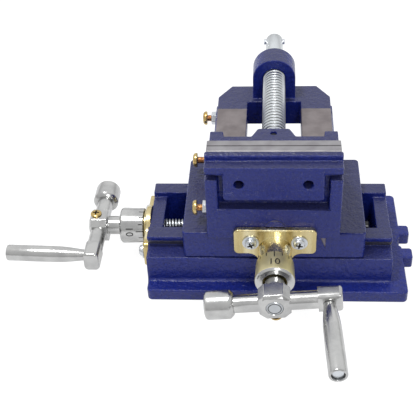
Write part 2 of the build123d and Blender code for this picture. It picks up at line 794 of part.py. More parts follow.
with BuildPart() as fixed_jaw_screws:
    with BuildSketch(Plane.XZ.offset(-fixed_plate_front - jaw_screw_bite)):
        with Locations((-jaw_screw_x, jaw_screw_z), (jaw_screw_x, jaw_screw_z)):
            Circle(jaw_screw_r)
    extrude(amount=fixed_plate_front + jaw_screw_bite - body_front - jaw_screw_recess)
fixed_jaw_screws.part.label = "fixed_jaw_screws"
export_step(fixed_jaw_screws.part, "parts/fixed_jaw_screws.step")

with BuildPart() as moving_jaw_screws:
    with BuildSketch(Plane.XZ.offset(-moving_wall_back)):
        with Locations((-moving_screw_x, moving_screw_z), (moving_screw_x, moving_screw_z)):
            Circle(jaw_screw_r)
    extrude(amount=moving_wall_back - moving_plate_back + jaw_screw_bite)
    with BuildSketch(Plane.XZ.offset(-moving_wall_back)):
        with Locations((-moving_screw_x, moving_screw_z), (moving_screw_x, moving_screw_z)):
            Circle(jaw_head_r)
    extrude(amount=-jaw_head_height)
moving_jaw_screws.part.label = "moving_jaw_screws"
export_step(moving_jaw_screws.part, "parts/moving_jaw_screws.step")

# Clamping screw: thread, grooved tip in the moving jaw and plain drive end at the back
with BuildPart() as main_screw:
    tip = moving_boss_back - main_tip_length
    groove_front = main_groove_y - main_groove_width / 2
    groove_back = main_groove_y + main_groove_width / 2
    with BuildSketch(Plane.YZ):
        with BuildLine():
            Polyline(
                (tip, main_axis_z),
                (tip, main_axis_z + main_tip_r - main_tip_edge),
                (tip + main_tip_edge, main_axis_z + main_tip_r),
                (groove_front, main_axis_z + main_tip_r),
                (groove_front, main_axis_z + main_groove_r),
                (groove_back, main_axis_z + main_groove_r),
                (groove_back, main_axis_z + main_tip_r),
                (moving_boss_back + slide_gap, main_axis_z + main_tip_r),
                (moving_boss_back + slide_gap, main_axis_z + main_screw_r - main_thread_edge),
                (moving_boss_back + slide_gap + main_thread_edge, main_axis_z + main_screw_r),
                (main_thread_end - main_thread_edge, main_axis_z + main_screw_r),
                (main_thread_end, main_axis_z + drive_r),
                (drive_end - drive_dome, main_axis_z + drive_r),
            )
            ThreePointArc(
                (drive_end - drive_dome, main_axis_z + drive_r),
                (drive_end - drive_dome_mid_back, main_axis_z + drive_dome_mid_r),
                (drive_end, main_axis_z),
            )
            Line((drive_end, main_axis_z), (tip, main_axis_z))
        make_face()
    revolve(axis=Axis((0, 0, main_axis_z), (0, 1, 0)))
    # milled flat near the end, and the cross pin's hole
    with BuildSketch(Plane.XY.offset(main_axis_z + drive_r - drive_flat_depth)):
        with Locations((0, drive_flat_start + drive_flat_length / 2)):
            Rectangle(2 * drive_r + 1, drive_flat_length)
    extrude(amount=drive_flat_depth + 1, mode=Mode.SUBTRACT)
    with BuildSketch(Plane.YZ.offset(-drive_r - 1)):
        with Locations((cross_pin_y, main_axis_z)):
            Circle(cross_pin_r + press_gap)
    extrude(amount=2 * drive_r + 2, mode=Mode.SUBTRACT)
main_screw.part.label = "main_screw"
export_step(main_screw.part, "parts/main_screw.step")

with BuildPart() as drive_cross_pin:
    with BuildSketch(Plane.YZ.offset(-cross_pin_half)):
        with Locations((cross_pin_y, main_axis_z)):
            Circle(cross_pin_r)
    extrude(amount=2 * cross_pin_half)
    chamfer(drive_cross_pin.edges().filter_by(GeomType.CIRCLE), length=cross_pin_edge)
drive_cross_pin.part.label = "drive_cross_pin"
export_step(drive_cross_pin.part, "parts/drive_cross_pin.step")

with BuildPart() as retaining_screw:
    retaining_tip_z = main_axis_z + main_groove_r + retaining_screw_gap
    with BuildSketch(Plane.XY.offset(retaining_tip_z)):
        with Locations((0, main_groove_y)):
            Circle(retaining_screw_r)
    extrude(amount=jaw_top_z - retaining_screw_sink - retaining_tip_z)
retaining_screw.part.label = "retaining_screw"
export_step(retaining_screw.part, "parts/retaining_screw.step")

# Gib strips: flat bars of slanted section that take up the play in the two dovetails
gib_low = body_bottom_z + gib_height_gap
gib_high = ridge_top_z - gib_height_gap
with BuildPart() as y_gib:
    with BuildSketch(Plane.XZ.offset(-body_back + gib_end_gap)):
        with BuildLine():
            Polyline(
                (-ridge_edge(gib_low, slide_gap), gib_low),
                (-ridge_edge(gib_high, slide_gap), gib_high),
                (-ridge_edge(gib_high, slide_gap + gib_thickness), gib_high),
                (-ridge_edge(gib_low, slide_gap + gib_thickness), gib_low),
                (-ridge_edge(gib_low, slide_gap), gib_low),
            )
        make_face()
    extrude(amount=body_back - body_front - front_wall - 2 * gib_end_gap)
y_gib.part.label = "y_gib"
export_step(y_gib.part, "parts/y_gib.step")

x_gib_low = saddle_skirt_z + gib_height_gap
x_gib_high = rail_land_z - gib_height_gap
rail_flank = [rail_root_half + (z - shoulder_z) * rail_slope for z in (x_gib_low, x_gib_high)]
with BuildPart() as x_gib:
    with BuildSketch(Plane.YZ.offset(-saddle_half + gib_end_gap)):
        with BuildLine():
            Polyline(
                (rail_flank[0] + slide_gap, x_gib_low),
                (rail_flank[1] + slide_gap, x_gib_high),
                (rail_flank[1] + slide_gap + gib_thickness, x_gib_high),
                (rail_flank[0] + slide_gap + gib_thickness, x_gib_low),
                (rail_flank[0] + slide_gap, x_gib_low),
            )
        make_face()
    extrude(amount=2 * saddle_half - 2 * gib_end_gap)
x_gib.part.label = "x_gib"
export_step(x_gib.part, "parts/x_gib.step")

# Gib screws on the left of the body, each with a lock nut
gib_tip_x = -ridge_edge(y_gib_screw_z + gib_screw_r, slide_gap + gib_thickness + gib_tip_gap)
with BuildPart() as y_gib_screws:
    for y, stand in zip(y_gib_screw_y, y_gib_screw_stand):
        with BuildSketch(Plane.YZ.offset(-body_half - stand)):
            with Locations((y, y_gib_screw_z)):
                Circle(gib_screw_r)
        extrude(amount=body_half + stand + gib_tip_x)
        with BuildSketch(Plane.YZ.offset(-body_half - stand)):
            with Locations((y, y_gib_screw_z)):
                Circle(gib_head_r)
        extrude(amount=-gib_head_height, taper=gib_head_taper)
y_gib_screws.part.label = "y_gib_screws"
export_step(y_gib_screws.part, "parts/y_gib_screws.step")

with BuildPart() as y_gib_nuts:
    with BuildSketch(Plane.YZ.offset(-body_half)):
        with Locations([(y, y_gib_screw_z) for y in y_gib_screw_y]):
            RegularPolygon(gib_nut_flats / 2, 6, major_radius=False)
            Circle(gib_screw_r + bore_gap, mode=Mode.SUBTRACT)
    extrude(amount=-gib_nut_height)
y_gib_nuts.part.label = "y_gib_nuts"
export_step(y_gib_nuts.part, "parts/y_gib_nuts.step")

x_gib_tip_edge = rail_root_half + (x_gib_screw_z + gib_screw_r - shoulder_z) * rail_slope
x_gib_tip_y = x_gib_tip_edge + slide_gap + gib_thickness + gib_tip_gap
with BuildPart() as x_gib_screws:
    with BuildSketch(Plane.XZ.offset(-saddle_back - x_gib_screw_stand)):
        with Locations([(x, x_gib_screw_z) for x in x_gib_screw_x]):
            Circle(gib_screw_r)
    extrude(amount=saddle_back + x_gib_screw_stand - x_gib_tip_y)
    with BuildSketch(Plane.XZ.offset(-saddle_back - x_gib_screw_stand)):
        with Locations([(x, x_gib_screw_z) for x in x_gib_screw_x]):
            Circle(gib_head_r)
    extrude(amount=-gib_head_height, taper=gib_head_taper)
x_gib_screws.part.label = "x_gib_screws"
export_step(x_gib_screws.part, "parts/x_gib_screws.step")

with BuildPart() as x_gib_nuts:
    with BuildSketch(Plane.XZ.offset(-saddle_back)):
        with Locations([(x, x_gib_screw_z) for x in x_gib_screw_x]):
            RegularPolygon(gib_nut_flats / 2, 6, major_radius=False)
            Circle(gib_screw_r + bore_gap, mode=Mode.SUBTRACT)
    extrude(amount=-gib_nut_height)
x_gib_nuts.part.label = "x_gib_nuts"
export_step(x_gib_nuts.part, "parts/x_gib_nuts.step")

# Nuts: bronze blocks with a round spigot, one under the body and one under the saddle
with BuildPart() as y_nut:
    with BuildSketch(Plane.XY.offset(y_axis_z - nut_foot)):
        with Locations((y_axis_x, y_nut_back - nut_length / 2)):
            RectangleRounded(2 * nut_half, nut_length, nut_corner)
    extrude(amount=body_roof_z - y_axis_z + nut_foot)
    with BuildSketch(Plane.XY.offset(body_roof_z)):
        with Locations((y_axis_x, y_nut_back - nut_length / 2)):
            Circle(nut_spigot_r)
    extrude(amount=nut_spigot_height)
    with BuildSketch(Plane.XZ.offset(-y_nut_back - 1)):
        with Locations((y_axis_x, y_axis_z)):
            Circle(screw_r + bore_gap)
    extrude(amount=nut_length + 2, mode=Mode.SUBTRACT)
y_nut.part.label = "y_nut"
export_step(y_nut.part, "parts/y_nut.step")

with BuildPart() as x_nut:
    with BuildSketch(Plane.XY.offset(x_axis_z - x_nut_foot)):
        RectangleRounded(nut_length, 2 * nut_half, nut_corner)
    extrude(amount=belly_z - x_axis_z + x_nut_foot)
    with BuildSketch(Plane.XY.offset(belly_z)):
        Circle(nut_spigot_r)
    extrude(amount=nut_spigot_height)
    with BuildSketch(Plane.YZ.offset(-nut_length / 2 - 1)):
        with Locations((0, x_axis_z)):
            Circle(screw_r + bore_gap)
    extrude(amount=nut_length + 2, mode=Mode.SUBTRACT)
x_nut.part.label = "x_nut"
export_step(x_nut.part, "parts/x_nut.step")


def drive_train(
    prefix, face, half, rise, screw_rise, span, boss, screw_length, dial_back, tilt, lean, screw_side
):
    """Make one leadscrew with its bracket, dial and crank.

    face is the plane of the seat that the bracket is bolted to, with its origin on the
    screw's axis, its normal pointing out to the user and its x direction along the crank.
    """
    x_dir, y_dir, out = face.x_dir, face.y_dir, face.z_dir
    hub_mid = dial_back + dial_length + dial_to_hub
    hub_front = hub_mid + hub_half_thickness

    # bracket: a flange with two wings and a round boss for the shaft
    with BuildPart() as bracket:
        with BuildSketch(face) as outline:
            with Locations((0, rise)):
                Rectangle(2 * half, bracket_height)
            Circle(bracket_hub_r)
            webs = [v for v in outline.vertices() if abs(v.X) < bracket_hub_r]
            fillet(webs, radius=bracket_web)
            corners = [v for v in outline.vertices() if abs(abs(v.X) - half) < same_place]
            fillet(corners, radius=bracket_corner)
        extrude(amount=bracket_plate)
        fillet(bracket.faces().sort_by(Axis(face.origin, out))[-1].edges(), radius=bracket_roll)
        with BuildSketch(face.offset(bracket_plate)):
            Circle(bracket_boss_r)
        extrude(amount=boss)
        with BuildSketch(face):
            Circle(shaft_r + bore_gap)
        extrude(amount=bracket_plate + boss, mode=Mode.SUBTRACT)
        with BuildSketch(face):
            with Locations((-span, screw_rise), (span, screw_rise)):
                Circle(bracket_screw_r + bore_gap)
        extrude(amount=bracket_plate, mode=Mode.SUBTRACT)
    bracket.part.label = prefix + "_bracket"
    export_step(bracket.part, "parts/" + prefix + "_bracket.step")

    with BuildPart() as washers:
        with BuildSketch(face.offset(bracket_plate)):
            with Locations((-span, screw_rise), (span, screw_rise)):
                Circle(washer_r)
                Circle(bracket_screw_r + bore_gap, mode=Mode.SUBTRACT)
        extrude(amount=washer_thickness)
    washers.part.label = prefix + "_bracket_washers"
    export_step(washers.part, "parts/" + prefix + "_bracket_washers.step")

    with BuildPart() as screws:
        seat = bracket_plate + washer_thickness
        with BuildSketch(face.offset(seat)):
            with Locations((-span, screw_rise), (span, screw_rise)):
                Circle(bracket_screw_r)
        extrude(amount=-seat - bracket_screw_length + blind_gap)
        with BuildSketch(face.offset(seat)):
            with Locations((-span, screw_rise), (span, screw_rise)):
                Circle(bracket_head_r)
        extrude(amount=bracket_head_height, taper=bracket_head_taper)
    screws.part.label = prefix + "_bracket_screws"
    export_step(screws.part, "parts/" + prefix + "_bracket_screws.step")

    # leadscrew: plain shaft, thrust collar behind the bracket, then the thread
    with BuildPart() as leadscrew:
        with BuildSketch(face.offset(hub_front)):
            Circle(shaft_r)
        extrude(amount=-hub_front)
        with BuildSketch(face.offset(-slide_gap)):
            Circle(collar_r)
        extrude(amount=-collar_length)
        with BuildSketch(face):
            Circle(screw_r)
        extrude(amount=-screw_length)
        chamfer(leadscrew.faces().sort_by(Axis(face.origin, out))[0].edges(), length=screw_end_taper)
    leadscrew.part.label = prefix + "_leadscrew"
    export_step(leadscrew.part, "parts/" + prefix + "_leadscrew.step")

    # dial: a slightly tapered collar with a deep front bore and a set screw in its side
    with BuildPart() as dial:
        side = Plane(origin=face.origin, x_dir=out, z_dir=-y_dir)
        with BuildSketch(side):
            with BuildLine():
                Polyline(
                    (dial_back, shaft_r + press_gap),
                    (dial_back, dial_back_r),
                    (dial_back + dial_length - dial_rim, dial_front_r),
                    (dial_back + dial_length, dial_front_r - dial_rim),
                    (dial_back + dial_length, dial_bore_r),
                    (dial_back + dial_length - dial_bore_depth, dial_bore_r),
                    (dial_back + dial_length - dial_bore_depth, shaft_r + press_gap),
                    (dial_back, shaft_r + press_gap),
                )
            make_face()
        revolve(axis=Axis(face.origin, out))
        set_plane = Plane(
            origin=face.origin + out * (dial_back + dial_screw_at), x_dir=out, z_dir=-x_dir
        )
        with BuildSketch(set_plane.offset(shaft_r)):
            Circle(dial_screw_r + bore_gap)
        extrude(amount=dial_front_r, mode=Mode.SUBTRACT)
    dial.part.label = prefix + "_dial"
    export_step(dial.part, "parts/" + prefix + "_dial.step")

    with BuildPart() as dial_screw:
        with BuildSketch(set_plane.offset(shaft_r + bore_gap)):
            Circle(dial_screw_r)
        extrude(amount=dial_back_r - dial_screw_sink - shaft_r - bore_gap)
    dial_screw.part.label = prefix + "_dial_set_screw"
    export_step(dial_screw.part, "parts/" + prefix + "_dial_set_screw.step")

    # crank arm: square hub with cut corners, a neck, two rods and the end block
    tilt_rad = math.radians(tilt)
    along = x_dir * math.cos(tilt_rad) + y_dir * math.sin(tilt_rad)
    across = y_dir * math.cos(tilt_rad) - x_dir * math.sin(tilt_rad)
    screw_out = across * screw_side
    centre = face.origin + out * hub_mid
    hub_plane = Plane(origin=centre - out * hub_half_thickness, x_dir=along, z_dir=out)
    screw_seat = centre + out * hub_screw_out + screw_out * (shaft_r + bore_gap)
    screw_plane = Plane(origin=screw_seat, x_dir=along, z_dir=screw_out)
    # the grip turns on a spindle that leans a little from the leadscrew's direction
    lean_rad = math.radians(lean)
    grip_out = out * math.cos(lean_rad) + along * math.sin(lean_rad)
    grip_along = along * math.cos(lean_rad) - out * math.sin(lean_rad)
    grip_base = centre + along * grip_offset + out * block_half_thickness
    grip_plane = Plane(origin=grip_base, x_dir=grip_along, z_dir=grip_out)
    with BuildPart() as arm:
        with BuildSketch(hub_plane):
            chamfer(Rectangle(hub_width, hub_width).vertices(), length=hub_corner)
        extrude(amount=2 * hub_half_thickness)
        chamfer(arm.faces().sort_by(Axis(centre, out))[-1].edges(), length=hub_edge)
        with BuildSketch(hub_plane):
            Circle(hub_neck_r)
        neck_end = dial_back + dial_length - dial_bore_depth + hub_neck_gap
        extrude(amount=-(hub_mid - hub_half_thickness - neck_end))
        with BuildSketch(Plane(origin=centre, x_dir=out, z_dir=along)):
            Circle(arm_r)
        extrude(amount=block_start + 1)
        with BuildSketch(Plane(origin=centre, x_dir=out, z_dir=-along)):
            Circle(arm_r)
        extrude(amount=knob_start + arm_bite)
        with BuildSketch(Plane(origin=centre + along * block_start, x_dir=out, z_dir=along)):
            RectangleRounded(2 * block_half_thickness, block_width, block_round)
        extrude(amount=block_end - block_start)
        fillet(arm.faces().sort_by(Axis(centre, along))[-1].edges(), radius=block_end_round)
        # bores for the shaft, the grip's spindle and the hub's set screw
        with BuildSketch(hub_plane.offset(-hub_mid)):
            Circle(shaft_r + press_gap)
        extrude(amount=2 * hub_mid, mode=Mode.SUBTRACT)
        with BuildSketch(grip_plane):
            Circle(spindle_r + press_gap)
        extrude(amount=-block_half_thickness, mode=Mode.SUBTRACT)
        with BuildSketch(grip_plane):
            Circle(spindle_r + press_gap)
        extrude(amount=loose_gap, mode=Mode.SUBTRACT)
        with BuildSketch(screw_plane):
            Circle(hub_screw_r + bore_gap)
        extrude(amount=hub_width, mode=Mode.SUBTRACT)
    arm.part.label = prefix + "_crank_arm"
    export_step(arm.part, "parts/" + prefix + "_crank_arm.step")

    with BuildPart() as counterweight:
        with BuildSketch(Plane(origin=centre - along * knob_start, x_dir=out, z_dir=-along)):
            Circle(knob_r)
        extrude(amount=knob_end - knob_start)
        rims = counterweight.edges().filter_by(GeomType.CIRCLE).sort_by(Axis(centre, -along))
        chamfer(rims[0], length=knob_chamfer)
        fillet(rims[-1], radius=knob_round)
        with BuildSketch(Plane(origin=centre - along * knob_start, x_dir=out, z_dir=-along)):
            Circle(arm_r + press_gap)
        extrude(amount=arm_bite + bore_gap, mode=Mode.SUBTRACT)
    counterweight.part.label = prefix + "_counterweight"
    export_step(counterweight.part, "parts/" + prefix + "_counterweight.step")

    with BuildPart() as hub_screw:
        with BuildSketch(screw_plane):
            Circle(hub_screw_r)
        extrude(amount=hub_screw_length)
        with BuildSketch(screw_plane.offset(hub_width / 2 - shaft_r - bore_gap)):
            Circle(hub_screw_head_r)
        extrude(amount=hub_screw_head, taper=hub_screw_taper)
    hub_screw.part.label = prefix + "_crank_set_screw"
    export_step(hub_screw.part, "parts/" + prefix + "_crank_set_screw.step")

    # grip: a turned handle, slim at the block, that spins on its spindle
    grip_side = Plane(origin=grip_base, x_dir=grip_out, z_dir=-across)
    with BuildPart() as grip:
        with BuildSketch(grip_side):
            with BuildLine():
                Line((grip_gap, grip_bore_r), (grip_gap, grip_neck_r))
                Spline(
                    (grip_gap, grip_neck_r),
                    (grip_body_start, grip_body_r),
                    tangents=((grip_body_start, grip_body_r - grip_neck_r), (1, 0)),
                )
                Polyline(
                    (grip_body_start, grip_body_r),
                    (grip_length - grip_end_chamfer, grip_body_r),
                    (grip_length, grip_body_r - grip_end_chamfer),
                    (grip_length, spindle_head_r + grip_recess_gap),
                    (grip_length - grip_recess_depth, spindle_head_r + grip_recess_gap),
                    (grip_length - grip_recess_depth, grip_bore_r),
                    (grip_gap, grip_bore_r),
                )
            make_face()
        revolve(axis=Axis(grip_base, grip_out))
    grip.part.label = prefix + "_grip"
    export_step(grip.part, "parts/" + prefix + "_grip.step")

    with BuildPart() as spindle:
        with BuildSketch(grip_plane):
            Circle(spindle_r)
        extrude(amount=-block_half_thickness + blind_gap)
        with BuildSketch(grip_plane):
            Circle(spindle_r)
        extrude(amount=grip_length - grip_recess_depth + bore_gap)
        with BuildSketch(grip_plane.offset(grip_length - grip_recess_depth + bore_gap)):
            Circle(spindle_head_r)
        extrude(amount=spindle_head)
    spindle.part.label = prefix + "_grip_spindle"
    export_step(spindle.part, "parts/" + prefix + "_grip_spindle.step")


# Lengthways train at the front of the saddle, and cross train at the base's left end
y_face = Plane(origin=(y_axis_x, y_plate_back, y_axis_z), x_dir=(1, 0, 0), z_dir=(0, -1, 0))
x_face = Plane(origin=(x_plate_back, 0, x_axis_z), x_dir=(0, -1, 0), z_dir=(-1, 0, 0))
drive_train(
    "y",
    y_face,
    y_bracket_half,
    y_bracket_rise,
    y_bracket_screw_rise,
    y_bracket_screw_x,
    y_bracket_boss,
    saddle_back - y_screw_end_gap - y_plate_back,
    y_dial_back,
    y_crank_tilt,
    y_grip_lean,
    -1,
)
drive_train(
    "x",
    x_face,
    x_bracket_half,
    x_bracket_rise,
    x_bracket_screw_rise,
    x_bracket_screw_y,
    x_bracket_boss,
    x_screw_end - base_left,
    x_dial_back,
    x_crank_tilt,
    x_grip_lean,
    1,
)
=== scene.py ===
import bpy
import json
from math import cos, pi, radians, sin
from mathutils import Matrix, Vector


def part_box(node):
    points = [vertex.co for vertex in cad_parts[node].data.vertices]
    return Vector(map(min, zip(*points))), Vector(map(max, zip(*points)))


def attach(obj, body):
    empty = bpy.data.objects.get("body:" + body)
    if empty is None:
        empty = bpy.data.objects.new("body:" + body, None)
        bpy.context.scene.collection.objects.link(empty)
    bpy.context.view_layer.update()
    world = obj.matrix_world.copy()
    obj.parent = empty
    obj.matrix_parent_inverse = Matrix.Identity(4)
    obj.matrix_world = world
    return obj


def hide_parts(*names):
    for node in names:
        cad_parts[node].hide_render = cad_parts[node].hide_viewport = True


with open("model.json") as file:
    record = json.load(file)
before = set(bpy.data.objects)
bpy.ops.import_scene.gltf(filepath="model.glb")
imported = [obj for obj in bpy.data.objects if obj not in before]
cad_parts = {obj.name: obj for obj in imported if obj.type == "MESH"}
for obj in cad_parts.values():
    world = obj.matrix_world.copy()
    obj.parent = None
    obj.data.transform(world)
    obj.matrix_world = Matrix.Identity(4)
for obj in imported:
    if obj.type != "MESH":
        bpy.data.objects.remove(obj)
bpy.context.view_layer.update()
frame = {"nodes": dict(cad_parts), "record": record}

# Base: an iron casting with a foot, two dovetail rails and clamp ears, in navy gloss paint.
# The paint lies a little uneven over the sand-cast skin, and the flanks under the rails are bare.
# The copy of the solid gets rounded edges, as the casting and its paint have them.


class Wire:
    """One output of a finish's nodes. Sums, products and comparisons of wires add Math nodes."""

    def __init__(self, finish, socket):
        self.finish = finish
        self.socket = socket

    def math(self, operation, first, second=0.0):
        return self.finish.node("ShaderNodeMath", {"operation": operation}, {0: first, 1: second})

    def __add__(self, other):
        return self.math("ADD", self, other)

    __radd__ = __add__

    def __sub__(self, other):
        return self.math("SUBTRACT", self, other)

    def __rsub__(self, other):
        return self.math("SUBTRACT", other, self)

    def __mul__(self, other):
        return self.math("MULTIPLY", self, other)

    __rmul__ = __mul__

    def __gt__(self, other):
        return self.math("GREATER_THAN", self, other)

    def __lt__(self, other):
        return self.math("LESS_THAN", self, other)

    def between(self, low, high):
        """Rises smoothly from 0 at low to 1 at high."""
        settings = {"clamp": True, "interpolation_type": "SMOOTHSTEP"}
        return self.finish.node("ShaderNodeMapRange", settings, {0: self, 1: low, 2: high})


class Finish:
    """A material or a world under construction. One method adds any node, and one closes it."""

    def __init__(self, name, library=bpy.data.materials):
        self.owner = library.new(name)
        self.owner.use_nodes = True
        self.tree = self.owner.node_tree
        self.tree.nodes.clear()
        self.place = self.node("ShaderNodeTexCoord", {}, {}, "Object")

    def node(self, kind, settings, inputs, output=0):
        made = self.tree.nodes.new(kind)
        for key, value in settings.items():
            setattr(made, key, value)
        for key, value in inputs.items():
            if isinstance(value, Wire):
                self.tree.links.new(value.socket, made.inputs[key])
            elif isinstance(value, tuple) and len(value) == 3 and made.inputs[key].type == "RGBA":
                made.inputs[key].default_value = (*value, 1.0)
            else:
                made.inputs[key].default_value = value
        return Wire(self, made.outputs[output])

    def noise(self, scale, detail=3.0, stretch=(1.0, 1.0, 1.0)):
        point = self.node("ShaderNodeMapping", {}, {"Vector": self.place, "Scale": stretch})
        return self.node("ShaderNodeTexNoise", {}, {"Vector": point, "Scale": scale, "Detail": detail})

    def split(self, vector, index):
        return self.node("ShaderNodeSeparateXYZ", {}, {0: vector}, index)

    def blend(self, factor, first, second):
        return self.node("ShaderNodeMix", {"data_type": "RGBA"}, {0: factor, 6: first, 7: second}, 2)

    def bump(self, height, distance, strength):
        inputs = {"Height": height, "Distance": distance, "Strength": strength}
        return self.node("ShaderNodeBump", {}, inputs)

    def close(self, shader, output="ShaderNodeOutputMaterial"):
        surface = self.tree.nodes.new(output).inputs["Surface"]
        self.tree.links.new(shader.socket, surface)
        return self.owner


def enamel_shader(finish):
    """Navy gloss enamel, a little uneven over a cast skin, with a painted grey sheen on faces that look up,
    kept off low tops as painted shade.
    """
    thin, full, pooled = (0.008, 0.016, 0.175), (0.011, 0.024, 0.220), (0.004, 0.008, 0.090)
    # Painted sheen: faces that look up are greyed towards this tone, as if they reflected the bright sky.
    sky_sheen_grey = (0.040, 0.040, 0.062)
    shade_height, sheen_height = 0.014, 0.034
    cloud = finish.noise(28.0, 4.0)
    mottle = finish.noise(700.0, 3.0)
    colour = finish.blend(cloud, thin, full)
    colour = finish.blend(mottle.between(0.35, 0.75) * 0.6, colour, pooled)
    normal = finish.node("ShaderNodeNewGeometry", {}, {}, "Normal")
    facing_up = finish.split(normal, 2).between(0.6, 1.0)
    # Painted shade: tops lower than these heights keep the dark blue, as if the parts above shaded them.
    high_up = finish.split(finish.place, 2).between(shade_height, sheen_height)
    colour = finish.blend(0.6 * facing_up * high_up, colour, sky_sheen_grey)
    peel = finish.noise(900.0, 3.0) + 1.6 * finish.noise(330.0, 2.0) + 1.5 * finish.noise(70.0, 2.0)
    peel_height = 0.0004
    return finish.node(
        "ShaderNodeBsdfPrincipled",
        {},
        {
            "Base Color": colour,
            "Roughness": 0.16 + 0.20 * finish.noise(120.0, 3.0),
            "IOR": 1.42,
            "Coat Weight": 0.10,
            "Coat Roughness": 0.08,
            "Normal": finish.bump(peel, peel_height, 0.9),
        },
    )


def ground_shader(finish, stretch, dark, light):
    """Bare ground steel, with fine grinding lines drawn out along one direction."""
    lines = finish.noise(1500.0, 2.0, stretch)
    line_depth = 0.00003
    stain = finish.noise(120.0, 5.0)
    return finish.node(
        "ShaderNodeBsdfPrincipled",
        {},
        {
            "Base Color": finish.blend(stain.between(0.3, 0.7), dark, light),
            "Metallic": 1.0,
            "Roughness": 0.38 + 0.2 * lines,
            "Normal": finish.bump(lines, line_depth, 0.7),
        },
    )


def owner(node):
    """The body that a CAD node rides on."""
    for body, members in frame["record"]["behaviour"]["bodies"].items():
        if node in members:
            return body


def only(piece):
    """Leaves just this object selected and active."""
    bpy.ops.object.select_all(action="DESELECT")
    piece.select_set(True)
    bpy.context.view_layer.objects.active = piece


def finished(piece, material, body, *nodes):
    """Gives a piece its material, parents it to the body it rides on, and hides the CAD nodes it stands
    for.
    """
    if not piece.data.materials:
        piece.data.materials.append(material)
    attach(piece, body)
    if nodes:
        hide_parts(*nodes)


def rounded(node, name, radius, segments=3, finer=()):
    """A copy of a CAD solid, with its triangles merged and its sharp edges rounded.

    An edge with little room beside it gets a smaller radius. finer lists regions, each by its
    lowest and highest corner and the share of the radius there.
    """
    same_point, flat_angle, sharp_angle = 0.000002, radians(0.5), radians(32)
    in_line, least_share, room = 0.85, 0.15, 0.45
    piece = bpy.data.objects.new(name, frame["nodes"][node].data.copy())
    bpy.context.scene.collection.objects.link(piece)
    piece.data.materials.clear()
    only(piece)
    bpy.ops.object.mode_set(mode="EDIT")
    bpy.ops.mesh.select_all(action="SELECT")
    bpy.ops.mesh.remove_doubles(threshold=same_point)
    bpy.ops.mesh.dissolve_limited(angle_limit=flat_angle)
    bpy.ops.mesh.select_mode(type="EDGE")
    bpy.ops.mesh.select_all(action="DESELECT")
    bpy.ops.mesh.edges_select_sharp(sharpness=sharp_angle)
    bpy.ops.object.mode_set(mode="OBJECT")
    shape = piece.data
    weight = shape.attributes.new("bevel_weight_edge", "FLOAT", "EDGE")
    ends = [[shape.vertices[corner].co for corner in edge.vertices] for edge in shape.edges]
    runs = [end - start for start, end in ends]
    meeting = [[] for _ in shape.vertices]
    for edge in shape.edges:
        for corner in edge.vertices:
            meeting[corner].append(edge.index)
    for edge in shape.edges:
        middle = (ends[edge.index][0] + ends[edge.index][1]) / 2
        share = 1.0 if edge.select else 0.0
        line = runs[edge.index].normalized()
        for other in meeting[edge.vertices[0]] + meeting[edge.vertices[1]]:
            if edge.select and abs(line.dot(runs[other].normalized())) < in_line:
                share = min(share, max(least_share, room * runs[other].length / radius))
        for low, high, part in finer:
            if all(a <= value <= b for a, value, b in zip(low, middle, high)):
                share = min(share, part)
        weight.data[edge.index].value = share
    edges = piece.modifiers.new("edges", "BEVEL")
    edges.width = radius
    edges.segments = segments
    edges.limit_method = "WEIGHT"
    edges.use_clamp_overlap = False
    edges.miter_outer = "MITER_ARC"
    bpy.ops.object.modifier_apply(modifier=edges.name)
    bpy.ops.object.shade_smooth_by_angle(angle=radians(25))
    flats = piece.modifiers.new("flats", "WEIGHTED_NORMAL")
    flats.keep_sharp = True
    flats.weight = 100
    bpy.ops.object.modifier_apply(modifier=flats.name)
    return piece


def bare_under(finish, mask, stretch, dark, light):
    """Enamel, worn or machined down to bare steel where the mask is 1."""
    return finish.close(
        finish.node(
            "ShaderNodeMixShader",
            {},
            {0: mask, 1: enamel_shader(finish), 2: ground_shader(finish, stretch, dark, light)},
        )
    )


base_paint = Finish("navy_enamel_base")
facing = base_paint.node("ShaderNodeNewGeometry", {}, {}, "Normal")
tilt_down = base_paint.split(facing, 2)
height = base_paint.split(base_paint.place, 2)
flank_foot, flank_head = 0.0257, 0.0312
flank = (tilt_down < -0.2) * (height > flank_foot) * (height < flank_head)
drawn_along_x = (0.06, 1.0, 1.0)
base_paint = bare_under(base_paint, flank, drawn_along_x, (0.26, 0.25, 0.25), (0.34, 0.33, 0.33))
casting_round = 0.0008
clamp_slot = ((0.0775, -0.0170, -0.001), (0.0900, 0.0170, 0.0110), 0.3)
bracket_foot = ((-0.0810, -0.0390, 0.0060), (-0.0740, 0.0390, 0.0120), 0.3)
bracket_seat = ((-0.0810, -0.0240, 0.0120), (-0.0740, 0.0240, 0.0200), 0.3)
base = rounded("base", "base_casting", casting_round, finer=[clamp_slot, bracket_foot, bracket_seat])
finished(base, base_paint, "base", "base")

# Saddle: the cross casting between base and body, in the same paint.
# The dovetail cutter left a small bare notch beside the front bracket, and the ridge is bare.

saddle_paint = Finish("navy_enamel_saddle")
across = saddle_paint.split(saddle_paint.place, 0)
along = saddle_paint.split(saddle_paint.place, 1)
height = saddle_paint.split(saddle_paint.place, 2)
notch_left, notch_right, notch_foot = 0.0258, 0.0308, 0.0334
notch_front, notch_back = -0.03525, -0.0344
ridge_foot = 0.0457
notch = (across > notch_left) * (across < notch_right) * (along > notch_front) * (along < notch_back)
notch = notch * (height > notch_foot)
bare = (notch + (height > ridge_foot)) > 0.5
drawn_along_y = (1.0, 0.06, 1.0)
saddle_paint = bare_under(saddle_paint, bare, drawn_along_y, (0.17, 0.15, 0.18), (0.26, 0.24, 0.27))
notch_edges = ((0.0255, -0.0354, 0.033), (0.0312, -0.0344, 0.0458), 0.0)
ridge_edges = ((-0.0300, -0.0450, 0.0430), (0.0300, 0.0400, 0.0610), 0.3)
saddle = rounded("saddle", "saddle_casting", casting_round, finer=[notch_edges, ridge_edges])
finished(saddle, saddle_paint, "saddle", "saddle")

# Vise body: one casting with the fixed jaw, the two rails and the screw boss.
# The rail tops are ground bare up to the cross wall, and so is the dovetail under it.

